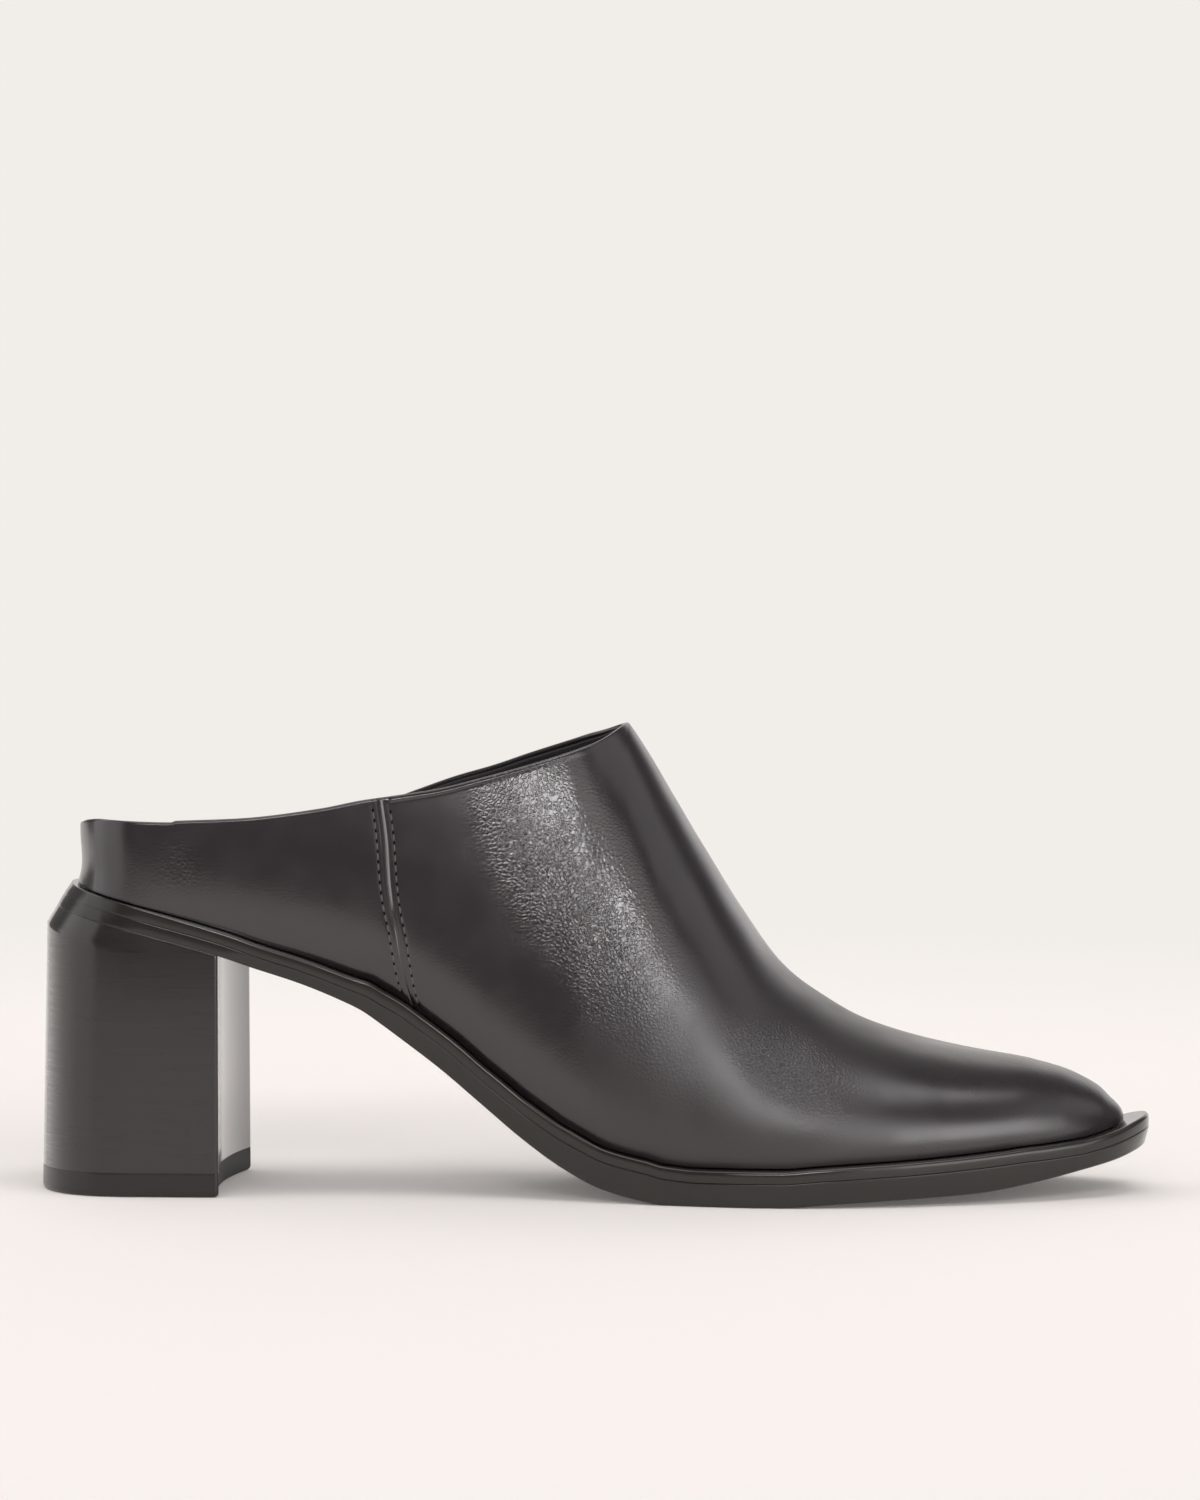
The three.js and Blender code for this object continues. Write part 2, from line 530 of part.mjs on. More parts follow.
// Columns round the heel turn about its centre, with a shallow hollow at the very back.
function backColumn(angle, side) {
  const along = HEEL_CENTRE_SHARE;
  const centreY = centreCurve(shareOfLength(heelCentreX)) + peakCurve(along);
  const power = powerCurves[side](along);
  const reach = footReach(heelCentreX, centreY, angle, side);
  const foot = footHeight(heelCentreX - reach * Math.cos(angle));
  const height = footHeight(heelCentreX) + crownCurve(along) - foot;
  const swell = swellCurve(shareOfUpper(heelCentreX - reach * Math.cos(angle)));
  const rim = collarHeight(heelCentreX - reach * Math.cos(angle), side);
  const cut = (rim - foot) / height;
  const backShare = Math.cos(angle) ** 2;
  return rowShares(cut, power).map((t) => {
    const share = t / cut;
    const hollow = COUNTER_HOLLOW * Math.sin(Math.PI * share ** HOLLOW_SKEW) ** 2 + COUNTER_LEAN * share;
    const radius = halfSection(reach, swell, power, height, t) - backShare * hollow;
    return new THREE.Vector3(
      heelCentreX - radius * Math.cos(angle),
      centreY + side * radius * Math.sin(angle),
      foot + t * height,
    );
  });
}

// Columns in order: tip, outer side, round the heel, inner side, back to the tip.
function upperColumns() {
  const easeIn = (t) => 1 - (1 - t) ** END_CROWDING;
  const quarter = Array.from({ length: SIDE_COLUMNS }, (_, i) =>
    THREE.MathUtils.lerp(heelCentreX, throatX, easeIn(i / SIDE_COLUMNS)));
  const vamp = Array.from({ length: VAMP_COLUMNS + 1 }, (_, i) =>
    THREE.MathUtils.lerp(throatX, footTip, easeIn(i / VAMP_COLUMNS)));
  const places = [...quarter, ...vamp];
  const outerSide = places.map((x) => sideColumn(x, LATERAL)).reverse();
  const innerSide = places.map((x) => sideColumn(x, MEDIAL));
  const back = Array.from({ length: BACK_COLUMNS - 1 }, (_, i) => {
    const turn = (Math.PI * (i + 1)) / BACK_COLUMNS - Math.PI / 2;
    return backColumn(Math.abs(turn), turn < 0 ? LATERAL : MEDIAL);
  });
  return { columns: [...outerSide, ...back, ...innerSide], openFrom: VAMP_COLUMNS };
}

function upperGeometry() {
  const { columns, openFrom } = upperColumns();
  const points = [];
  const known = new Map();
  const ids = columns.map((column) => column.map((point) => {
    const key = point.toArray().map((value) => Math.round(value / WELD)).join();
    if (!known.has(key)) {
      known.set(key, points.length);
      points.push(point);
    }
    return known.get(key);
  }));

  // Outer faces and the normals that carry the wall's thickness inward
  const outer = [];
  for (let i = 0; i < columns.length - 1; i += 1) {
    for (let j = 0; j < WALL_ROWS; j += 1) {
      outer.push([ids[i][j], ids[i + 1][j + 1], ids[i + 1][j]]);
      outer.push([ids[i][j], ids[i][j + 1], ids[i + 1][j + 1]]);
    }
  }
  const faces = outer.filter(([a, b, c]) => a !== b && b !== c && c !== a);
  const normals = points.map(() => new THREE.Vector3());
  for (const [a, b, c] of faces) {
    const across = points[b].clone().sub(points[a]);
    const face = across.cross(points[c].clone().sub(points[a]));
    for (const corner of [a, b, c]) normals[corner].add(face);
  }
  const inner = points.map((point, k) =>
    point.clone().addScaledVector(normals[k].normalize(), -UPPER_WALL));
  for (const column of ids) inner[column[0]].z = footHeight(inner[column[0]].x);

  const count = points.length;
  const triangles = [];
  for (const [a, b, c] of faces) triangles.push(a, b, c, a + count, c + count, b + count);
  const strip = (a, b) => triangles.push(a, b, b + count, a, b + count, a + count);
  for (let i = 0; i < columns.length - 1; i += 1) {
    strip(ids[i][0], ids[i + 1][0]);
    if (i >= openFrom && i + 1 < columns.length - openFrom) {
      strip(ids[i + 1][WALL_ROWS], ids[i][WALL_ROWS]);
    }
  }
  return solidGeometry([...points, ...inner].flatMap((point) => point.toArray()), triangles);
}

// Materials
const blackLeather = new THREE.MeshStandardMaterial({ color: 0x2b2729, roughness: 0.42, metalness: 0 });
const stackedLeather = new THREE.MeshStandardMaterial({ color: 0x262325, roughness: 0.38, metalness: 0 });
const soleLeather = new THREE.MeshStandardMaterial({ color: 0x24211f, roughness: 0.5, metalness: 0 });
const liningLeather = new THREE.MeshStandardMaterial({ color: 0x1c1a1b, roughness: 0.7, metalness: 0 });
const heelRubber = new THREE.MeshStandardMaterial({ color: 0x1a1919, roughness: 0.75, metalness: 0 });

const mule = new THREE.Group();
mule.name = 'mule';

function addPiece(name, geometry, material) {
  const piece = new THREE.Mesh(geometry, material);
  piece.name = name;
  mule.add(piece);
}

addPiece('heel_top_piece', topPieceGeometry(), heelRubber);
addPiece('heel', heelGeometry(), stackedLeather);
addPiece('outsole', outsoleGeometry(), soleLeather);
addPiece('midsole', midsoleGeometry(), soleLeather);
addPiece('upper', upperGeometry(), blackLeather);
addPiece('insole', insoleGeometry(), liningLeather);

export default mule;
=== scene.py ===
"""Finished look of a women's closed-toe mule on a stacked block heel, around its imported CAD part.

Metres, +Z up, +X toward the toe, +Y toward the inner side of the foot.
"""

import math

import bpy
import numpy as np
from bpy.props import FloatProperty, FloatVectorProperty, PointerProperty
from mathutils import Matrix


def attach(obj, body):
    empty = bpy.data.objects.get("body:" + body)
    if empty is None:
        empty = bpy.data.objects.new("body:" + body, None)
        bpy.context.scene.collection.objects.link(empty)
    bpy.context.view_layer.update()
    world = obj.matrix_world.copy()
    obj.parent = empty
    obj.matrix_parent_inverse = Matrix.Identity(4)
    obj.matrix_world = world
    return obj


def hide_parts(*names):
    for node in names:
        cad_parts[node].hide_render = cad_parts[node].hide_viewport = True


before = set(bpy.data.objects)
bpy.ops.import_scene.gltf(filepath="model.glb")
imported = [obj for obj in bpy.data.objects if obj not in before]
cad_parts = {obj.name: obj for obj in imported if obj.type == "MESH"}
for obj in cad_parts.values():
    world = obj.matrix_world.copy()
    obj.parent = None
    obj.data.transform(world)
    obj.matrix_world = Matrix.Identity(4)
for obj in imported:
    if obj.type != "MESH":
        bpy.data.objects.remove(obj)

bl_info = {
    "name": "Block-heel mule",
    "version": (1, 0, 0),
    "blender": (4, 5, 0),
    "location": "3D View > Sidebar > Mule",
    "description": "Leather upper, lining, seams, sole edges, stacked heel and studio of a mule",
    "category": "Add Mesh",
}

MM = 0.001
OUTER, INNER = -1, 1
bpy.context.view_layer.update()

# How finely the curved forms are divided
SLOPE_STEPS = 500
OUTLINE_STEPS = 12000
SOLE_STATIONS = 300
SOLE_COLUMNS = 24
FOOT_STATIONS = 1200
UPPER_ROWS = 110
LINING_ROWS = 40
QUARTER_COLUMNS = 96
VAMP_COLUMNS = 130
BACK_COLUMNS = 84
SEAM_COLUMNS = 44
SEAM_BAND = 4.2 * MM  # the seam's columns lie within this of it
RIM_ROWS = 12
RIM_BAND = 2.8 * MM  # the rim's rows lie within this of the collar
HEEL_SIDE_STEPS = 360
BREAST_STEPS = 400
HEEL_COLUMNS = 420
# How strongly rows and columns crowd at one end, as the power of an even share
ROW_CROWDING = 1.35
BACK_ROW_CROWDING = 1.2
QUARTER_CROWDING = 1.35
VAMP_CROWDING = 1.6

TINY = 1e-9
SAME_PLACE = 1e-7  # corners that lie within this are one
JOINT = 0.03 * MM  # the layers of sole and heel close up to this hairline
SHARP_EDGE = 0.02 * MM
LINING_GAP = 0.05 * MM
LINING_RIM = 1.4 * MM  # how far the lining ends under the collar

# Plan of the sole: share of its length, centre line as a share of the ball's width, width as a share
# of the heel's width up to SEAT_ROWS and of the ball's width after it
SEAT_ROWS = 8
PLAN_ROWS = (
    (0.0, 0.0, 0.0), (0.008, 0.0, 0.47), (0.027, 0.0, 0.775), (0.043, 0.0, 0.895),
    (0.063, 0.0, 0.97), (0.09, 0.0, 1.0), (0.124, 0.0, 1.0), (0.182, -0.003, 0.985),
    (0.261, -0.011, 0.61), (0.339, -0.019, 0.58), (0.418, -0.029, 0.612), (0.496, -0.032, 0.724),
    (0.575, -0.022, 0.88), (0.653, -0.011, 0.986), (0.692, -0.006, 1.0), (0.771, 0.001, 0.939),
    (0.83, 0.008, 0.835), (0.889, 0.016, 0.696), (0.936, 0.021, 0.546), (0.972, 0.023, 0.384),
    (0.99, 0.023, 0.234), (1.0, 0.023, 0.0),
)
# Underside of the outsole: share of the length, height as a share of the heel rise up to the tread
# and of the toe spring after it
TREAD_ROW = 17
UNDERSIDE_ROWS = (
    (0.0, 1.0), (0.053, 0.952), (0.108, 0.898), (0.171, 0.829), (0.198, 0.792), (0.243, 0.733),
    (0.278, 0.677), (0.296, 0.643), (0.314, 0.595), (0.332, 0.544), (0.368, 0.44), (0.404, 0.325),
    (0.44, 0.211), (0.476, 0.116), (0.512, 0.047), (0.548, 0.012), (0.569, 0.0), (0.673, 0.0),
    (0.707, 0.055), (0.777, 0.145), (0.847, 0.232), (0.9, 0.418), (0.936, 0.591), (0.972, 0.782),
    (1.0, 1.0),
)
# Outsole and midsole together: share of the length, share of the sole's thickness
STACK_ROWS = (
    (0.0, 0.683), (0.198, 0.683), (0.243, 0.695), (0.278, 0.72), (0.314, 0.8), (0.34, 0.88),
    (0.404, 0.87), (0.44, 0.93), (0.476, 1.02), (0.512, 1.1), (0.548, 1.14), (0.6, 1.02),
    (0.777, 1.02), (0.847, 1.05), (0.88, 1.0), (0.918, 0.87), (0.945, 0.79), (1.0, 0.8),
)
# Strip of the midsole outside the upper as a share of the welt's width, and paring of the lower edge
EDGE_ROWS = (
    (0.0, 0.485, 0.0), (0.17, 0.7, 0.0), (0.24, 0.72, 1.0), (0.42, 0.75, 1.0), (0.65, 1.0, 1.0),
    (0.88, 1.3, 1.0), (1.0, 1.7, 1.0),
)
# Last above the midsole, along the upper: crown, peak, swell, and power of the outer and inner side
LAST_ROWS = (
    (0.0, 1.07, 0.0, 0.0, 2.0, 2.0), (0.107, 1.07, 0.0, 0.01, 2.0, 2.0),
    (0.223, 1.11, 0.005, 0.028, 1.98, 2.0), (0.306, 1.12, 0.012, 0.042, 1.95, 2.0),
    (0.389, 1.15, 0.024, 0.04, 1.9, 2.0), (0.472, 1.122, 0.038, 0.03, 1.85, 2.0),
    (0.528, 1.0, 0.046, 0.025, 1.85, 2.02), (0.558, 0.897, 0.05, 0.023, 1.88, 2.05),
    (0.596, 0.745, 0.053, 0.021, 1.93, 2.1), (0.634, 0.588, 0.055, 0.02, 1.98, 2.15),
    (0.672, 0.453, 0.055, 0.019, 2.04, 2.2), (0.711, 0.368, 0.053, 0.018, 2.1, 2.25),
    (0.749, 0.307, 0.05, 0.017, 2.14, 2.28), (0.787, 0.268, 0.046, 0.016, 2.17, 2.3),
    (0.825, 0.238, 0.041, 0.015, 2.2, 2.3), (0.863, 0.212, 0.034, 0.014, 2.2, 2.3),
    (0.901, 0.187, 0.026, 0.012, 2.2, 2.3), (0.939, 0.156, 0.016, 0.009, 2.2, 2.25),
    (0.958, 0.132, 0.011, 0.007, 2.15, 2.2), (0.977, 0.095, 0.006, 0.004, 2.1, 2.1),
    (0.987, 0.064, 0.003, 0.002, 2.05, 2.05), (1.0, 0.0, 0.0, 0.0, 2.0, 2.0),
)
# Collar's climb from its back to the throat: place along the upper, outer side, inner side
COLLAR_ROWS = (
    (0.0, 0.0, 0.0), (0.016, 0.06, -0.035), (0.03, 0.078, -0.063), (0.06, 0.07, -0.08),
    (0.091, 0.064, -0.083), (0.13, 0.075, -0.075), (0.169, 0.094, -0.045), (0.244, 0.194, 0.061),
    (0.281, 0.273, 0.144), (0.318, 0.33, 0.285), (0.356, 0.395, 0.43), (0.393, 0.495, 0.546),
    (0.43, 0.602, 0.683), (0.47, 0.732, 0.822), (0.492, 0.812, 0.899), (0.512, 0.894, 0.951),
    (0.528, 1.0, 1.0),
)
THROAT_SHARE = 0.528
HEEL_CENTRE_SHARE = 0.107
HOLLOW_SKEW = 0.65
# Side seam from foot to collar: share of the wall's height, place along the upper
SEAM_ROWS = (
    (0.0, 0.3298), (0.07, 0.3246), (0.185, 0.3199), (0.32, 0.3157), (0.42, 0.3112), (0.566, 0.3074),
    (0.78, 0.3045), (1.0, 0.299),
)
# Sock's distance from the upper's wall: share of the length, share of its own thickness
SOCK_ROWS = ((0.0, 0.46), (0.1, 0.05), (0.8, 0.15), (0.93, 0.5), (1.0, 1.1))
# Soft creases of the leather: X, Z, lean in degrees, length, width and depth, on the outer side
CREASE_ROWS = (
    (8.5, 81.0, 14, 5.5, 0.7, 0.05), (11.0, 77.0, 12, 6.0, 0.8, 0.06), (13.8, 73.5, 10, 5.5, 0.8, 0.05),
    (16.5, 78.0, 12, 5.0, 0.7, 0.04), (100.0, 73.0, 52, 7.0, 1.2, 0.03), (96.5, 79.0, 48, 6.0, 1.0, 0.03),
    (92.0, 84.5, 44, 6.5, 1.1, 0.03), (146.0, 33.5, 62, 5.0, 0.9, 0.04), (152.0, 29.5, 66, 5.0, 0.8, 0.045),
    (158.5, 25.8, 70, 5.5, 0.9, 0.04), (149.0, 25.5, 66, 4.5, 0.8, 0.035), (165.0, 22.5, 74, 5.0, 1.0, 0.03),
)
# Patches of coarser, crinkled grain: X, Z, reach along and across the patch, its slope in degrees,
# strength
CRINKLE_ROWS = (
    (152.0, 31.0, 15.0, 8.0, -36, 1.0), (90.0, 80.0, 20.0, 9.0, -72, 0.48),
    (106.0, 66.0, 42.0, 14.0, -64, 0.5), (12.0, 77.0, 9.0, 6.0, -70, 0.22),
)
# Where the rows and columns of the upper change
RIM_START = 12 * MM  # the rim's rows gather over this distance ahead of the heel's centre
RIM_END = (22 * MM, 2 * MM)  # and spread again between these distances before the throat
LEAN_REACH = 22 * MM  # columns near the seam lean with it, less and less over this distance
LEAN_END = 20 * MM  # the lean fades out over this distance before the throat
LOWERED_END = 8 * MM  # and the room left for the rounded rim over this one
# Shares of the wall's height over which the seam's ridge rises, and sinks in toward the foot
RISE_SPAN = (0.3, 0.6)
SINK_SPAN = (0.25, 0.5)
# Where the turned edge starts ahead of the seam and ends before the throat
TURNED_START = (1 * MM, 3 * MM)
TURNED_END = (14 * MM, 3 * MM)
# The leather's relief, heights in mm: the seam's ridge, which stands up above and sinks in at its foot,
# the grooves beside it and under the stitches, and the bead of the turned edge
RIDGE_RISE = 0.2
RIDGE_SINK = 0.3
RIDGE_WIDTH = 0.3 * MM
SEAM_GROOVE_DEPTH = 0.07
SEAM_GROOVE_PLACE = 0.7 * MM
STITCH_GROOVE_DEPTH = 0.08
STITCH_GROOVE_WIDTH = 0.42 * MM
BEAD_RISE = 0.2
BEAD_PLACE = 0.35 * MM
BEAD_WIDTH = 0.42 * MM
# Stitches, and the dark beads of painted shade in their holes: half length, half width and half height, then
# how far the middle stands out
STITCH = ((0.85 * MM, 0.22 * MM, 0.2 * MM), -0.02 * MM)
HOLE_SHADE = ((0.36 * MM, 0.3 * MM, 0.18 * MM), -0.05 * MM)
STITCHES_START = 2.2 * MM
STITCHES_END = 1.4 * MM
# Cut edge along the seam, partly its own lighter colour and partly a painted highlight of the seam's ridge:
# its radius, and the shares of the wall's height between which it shows
SEAM_EDGE_AND_HIGHLIGHT_RADIUS = 0.15 * MM
SEAM_EDGE_AND_HIGHLIGHT_SPAN = (0.42, 0.985)
# The leather loses gloss down the vamp and forward, and regains this share of it before the toe
DULL_HEIGHT = (74 * MM, 28 * MM)
DULL_PLACE = (88 * MM, 128 * MM)
GLOSS_PLACE = (160 * MM, 185 * MM)
GLOSS_SHARE = 0.6


def size(name, description, millimetres):
    """Length of the add-on, from its default in mm."""
    return FloatProperty(name=name, description=description, default=millimetres * MM, unit="LENGTH")


def colour(name, description, default):
    """Colour of the add-on."""
    return FloatVectorProperty(name=name, description=description, default=default, subtype="COLOR",
                               size=3, min=0, max=1)


class MuleSizes(bpy.types.PropertyGroup):
    """Sizes of the mule that its pieces follow."""

    length: size("Length", "Back of the heel to the tip of the sole", 254.6)
    heel_length: size("Heel length", "Back of the heel to the corners of its breast", 43.6)
    heel_width: size("Heel width", "Widest part of the heel seat", 57)
    ball_width: size("Ball width", "Widest part of the forefoot", 85)
    heel_rise: size("Heel rise", "Floor to the outsole's underside at the very back", 66.2)
    toe_spring: size("Toe spring", "Floor to the outsole's underside at the tip", 11)
    sole_thickness: size("Sole thickness", "Outsole and midsole together under the ball", 8.2)
    midsole_thickness: size("Midsole thickness", "Layer whose edge shows round the upper", 2.8)
    edge_bevel: size("Edge bevel", "Paring of the outsole's lower edge", 0.8)
    top_piece_thickness: size("Top piece", "Wearing layer under the heel", 5.5)
    heel_flare: size("Heel flare", "How far the heel stands out at the floor", 0.8)
    breast_hollow: size("Breast hollow", "Depth of the breast's concave curve", 2.7)
    breast_offset: size("Breast offset", "How far to the outer side the breast's curve is centred", 2.1)
    back_bevel: size("Back bevel", "How far the slanted back of the seat is cut in", 5.45)
    back_bevel_height: size("Back bevel height", "Height of the slanted back", 10.5)
    back_lean: size("Back lean", "How far the heel's back leans in up to the seat", 0.5)
    back_bevel_reach: size("Back bevel reach", "How far forward the slanted back runs out", 27)
    welt_width: size("Welt width", "Strip of midsole round the upper at the ball", 3.4)
    upper_wall: size("Upper wall", "Leather and lining together", 2.0)
    leather_thickness: size("Leather", "Outer leather alone", 1.25)
    throat_depth: size("Throat depth", "Midsole to the peak of the vamp", 95.3)
    collar_depth: size("Collar depth", "Midsole to the collar at the very back", 13.7)
    tuck_reach: size("Tuck reach", "Height within which the upper tucks in to its foot", 6)
    counter_hollow: size("Counter hollow", "Hollow in the back of the quarter", 0.75)
    counter_lean: size("Counter lean", "How far the top of the quarter's back leans forward", 0.28)
    insole_thickness: size("Insole", "Insole board and sock", 3.4)
    gap: size("Gap", "Clearance between neighbouring pieces", 0.3)
    stitch_pitch: size("Stitch pitch", "Distance from one stitch to the next", 2.35)
    stitch_offset: size("Stitch offset", "Distance of each stitch row from the seam", 1.95)


class MuleColours(bpy.types.PropertyGroup):
    """Colours of the mule's finishes."""

    leather: colour("Leather", "Black upper leather", (0.0125, 0.0090, 0.0103))
    sole_edge: colour("Sole edge", "Burnished edge of the sole layers", (0.0105, 0.0090, 0.0072))
    stack: colour("Heel stack", "Stacked leather of the heel", (0.0140, 0.0108, 0.0102))
    lining: colour("Lining", "Lining and sock leather", (0.0100, 0.0090, 0.0095))
    rubber: colour("Rubber", "Top piece of the heel", (0.0110, 0.0105, 0.0105))
    thread: colour("Thread", "Seam thread", (0.080, 0.073, 0.074))
    paper: colour("Paper", "Studio floor and backdrop", (0.880, 0.847, 0.815))


def smooth_curve(x, y):
    """Curve through the points (x, y) that never overshoots them.

    Cubic pieces; the slope at each point is the weighted harmonic mean of its two neighbouring
    slopes, or zero where they change sign.
    """
    x, y = np.asarray(x, float), np.asarray(y, float)
    step = np.diff(x)
    secant = np.diff(y) / step
    before, after = secant[:-1], secant[1:]
    weight = (step[1:] + step[:-1] + step[1:]) / (3 * (step[:-1] + step[1:]))
    mean = weight * after + (1 - weight) * before
    same = before * after > 0
    inside = np.where(same, before * after / np.where(same, mean, 1.0), 0.0)
    slope = np.concatenate([[secant[0]], inside, [secant[-1]]])

    def value(place):
        place = np.clip(place, x[0], x[-1])
        i = np.clip(np.searchsorted(x, place, side="left") - 1, 0, len(x) - 2)
        span = step[i]
        t = (place - x[i]) / span
        rise = (3 - 2 * t) * t * t
        leave = t * (1 - t) ** 2 * span * slope[i]
        arrive = t * t * (1 - t) * span * slope[i + 1]
        return y[i] + (y[i + 1] - y[i]) * rise + leave - arrive

    return value


def round_curve(x, y):
    """The same through the squares of y, so that it closes round where it comes down to zero."""
    square = smooth_curve(x, np.asarray(y, float) ** 2)
    return lambda place: np.sqrt(np.maximum(0, square(place)))


def table_curve(rows, column, scale=1.0, curve=smooth_curve):
    """Curve through one column of a table, times scale, over the table's first column."""
    table = np.array(rows)
    return curve(table[:, 0], table[:, column] * scale)


def smooth_step(low, high, value):
    """0 below low, 1 above high, and 3t^2 - 2t^3 between them."""
    t = np.clip((value - low) / (high - low), 0, 1)
    return t * t * (3 - 2 * t)


def bump(distance, width):
    """Bell curve exp(-(distance / width)^2)."""
    return np.exp(-((distance / width) ** 2))


def unit(vectors):
    """The same vectors at length 1."""
    return vectors / np.maximum(np.linalg.norm(vectors, axis=-1, keepdims=True), 1e-12)


class Form:
    """The mule's surfaces as functions of place, from its sizes."""

    def __init__(self, sizes):
        self.s = sizes
        self.back = -sizes.heel_length / 2
        self.tip = self.back + sizes.length
        seat = np.arange(len(PLAN_ROWS)) < SEAT_ROWS
        arch = np.arange(len(UNDERSIDE_ROWS)) <= TREAD_ROW
        width = np.where(seat, sizes.heel_width, sizes.ball_width)
        rise = np.where(arch, sizes.heel_rise, sizes.toe_spring)
        self.centre_at = table_curve(PLAN_ROWS, 1, sizes.ball_width)
        self.width_at = table_curve(PLAN_ROWS, 2, width, round_curve)
        self.under_at = table_curve(UNDERSIDE_ROWS, 1, rise)
        self.stack_at = table_curve(STACK_ROWS, 1, sizes.sole_thickness)
        self.welt_at = table_curve(EDGE_ROWS, 1, sizes.welt_width)
        self.paring_at = table_curve(EDGE_ROWS, 2, sizes.edge_bevel)
        self.crown_at = table_curve(LAST_ROWS, 1, sizes.throat_depth, round_curve)
        self.peak_at = table_curve(LAST_ROWS, 2, sizes.ball_width)
        self.swell_at = table_curve(LAST_ROWS, 3, sizes.ball_width)
        self.power_at = {OUTER: table_curve(LAST_ROWS, 4), INNER: table_curve(LAST_ROWS, 5)}
        self.climb_at = {OUTER: table_curve(COLLAR_ROWS, 1), INNER: table_curve(COLLAR_ROWS, 2)}
        self.seam_at = table_curve(SEAM_ROWS, 1)
        self.sock_at = table_curve(SOCK_ROWS, 1, sizes.insole_thickness)
        self.foot = {side: self.foot_line(side) for side in (OUTER, INNER)}
        self.foot_back = self.foot[INNER][0, 0]
        self.foot_tip = self.foot[INNER][-1, 0]
        self.throat_x = self.place(THROAT_SHARE)
        self.heel_x = self.place(HEEL_CENTRE_SHARE)
        self.collar_back = self.foot_height(self.foot_back) + sizes.collar_depth
        self.throat_top = self.foot_height(self.throat_x) + self.crown_at(THROAT_SHARE)

    def share(self, x):
        return (x - self.back) / self.s.length

    def underside(self, x):
        return self.under_at(self.share(x))

    def slope(self, x):
        step = self.s.length / SLOPE_STEPS
        return (self.underside(x + step) - self.underside(x - step)) / (2 * step)

    def upright(self, thickness, x):
        """Height of a layer of this thickness where the sole slopes."""
        return thickness * np.hypot(1, self.slope(x))

    def midsole_top(self, x):
        return self.underside(x) + self.upright(self.stack_at(self.share(x)), x)

    def midsole_foot(self, x):
        return self.midsole_top(x) - self.upright(self.s.midsole_thickness, x)

    def foot_height(self, x):
        return self.midsole_top(x) + self.s.gap

    def back_bevel(self, x, z):
        """Inward cut at the back: the heel's slight lean and the slanted cut above it."""
        run_out = 1 - smooth_step(self.back, self.back + self.s.back_bevel_reach, x)
        up = np.clip(1 - (self.midsole_top(x) - z) / self.s.back_bevel_height, 0, 1)
        lean = self.s.back_lean * np.clip(z / self.s.heel_rise, 0, 1)
        return run_out * (self.s.back_bevel * up + lean)

    def outline(self, x, side):
        """Plan outline at x: y and the inward direction, from the slope of the squared half width."""
        def square(place):
            return (self.width_at(self.share(place)) / 2) ** 2

        half = self.width_at(self.share(x)) / 2
        step = self.s.length / OUTLINE_STEPS
        low, high = np.maximum(self.back, x - step), np.minimum(self.tip, x + step)
        square_slope = (square(high) - square(low)) / (high - low)
        centre_slope = (self.centre_at(self.share(high)) - self.centre_at(self.share(low))) / (high - low)
        along = 2 * half
        across = 2 * half * centre_slope + side * square_slope
        size = np.hypot(along, across)
        y = self.centre_at(self.share(x)) + side * half
        return y, side * across / size, -side * along / size

    def breast(self, y):
        """Place of the heel's hollow front at this y: a circle's arc."""
        half, hollow = self.s.heel_width / 2, self.s.breast_hollow
        radius = (half ** 2 + hollow ** 2) / (2 * hollow)
        middle = self.back + self.s.heel_length - hollow + radius
        return middle - np.sqrt(radius ** 2 - (y + self.s.breast_offset) ** 2)

    def stations(self, count):
        """Places along the sole, denser toward both ends: a cosine of equal steps."""
        return self.back + self.s.length * (1 - np.cos(np.pi * np.arange(count + 1) / count)) / 2

    def foot_inset(self, x):
        return self.back_bevel(x, self.midsole_top(x)) + self.welt_at(self.share(x))

    def foot_line(self, side):
        x = self.stations(FOOT_STATIONS)
        y, in_x, in_y = self.outline(x, side)
        inset = self.foot_inset(x)
        line = np.column_stack([x + in_x * inset, y + in_y * inset])
        ahead = np.append(True, line[1:, 0] > np.maximum.accumulate(line[:, 0])[:-1])
        return line[ahead]

    def foot_y(self, x, side):
        return np.interp(x, self.foot[side][:, 0], self.foot[side][:, 1])

    def along(self, x):
        return (x - self.foot_back) / (self.foot_tip - self.foot_back)

    def place(self, along):
        return self.foot_back + along * (self.foot_tip - self.foot_back)

    def before_throat(self, x, start, end=0.0):
        """1 up to start before the throat, 0 from end before it."""
        return 1 - smooth_step(self.throat_x - start, self.throat_x - end, x)

    def collar_height(self, x, side):
        climb = self.climb_at[side](self.along(x))
        return self.collar_back + climb * (self.throat_top - self.collar_back)

    def half_section(self, reach, swell, power, height, t):
        """Half width at a share t of the height: an arch (1 - t^p)^(1/p) that tucks in at its foot."""
        arch = np.maximum(0, 1 - t ** power) ** (1 / power)
        tuck = (1 - t) ** (1 + height / self.s.tuck_reach)
        return (reach + swell) * arch - swell * tuck

    def side_point(self, x, side, t):
        """Point of the upper's outer face in the upright section at x."""
        along = self.along(x)
        ridge = self.centre_at(self.share(x)) + self.peak_at(along)
        height = self.crown_at(along)
        reach = np.abs(self.foot_y(x, side) - ridge)
        half = self.half_section(reach, self.swell_at(along), self.power_at[side](along), height, t)
        return np.stack([x, ridge + side * half, self.foot_height(x) + t * height], axis=-1)

    def side_cut(self, x, side):
        """Share of the section's height at which the collar cuts it."""
        height = self.crown_at(self.along(x))
        cut = (self.collar_height(x, side) - self.foot_height(x)) / np.maximum(height, TINY)
        return np.where(x < self.throat_x - TINY, np.minimum(cut, 1), 1.0)

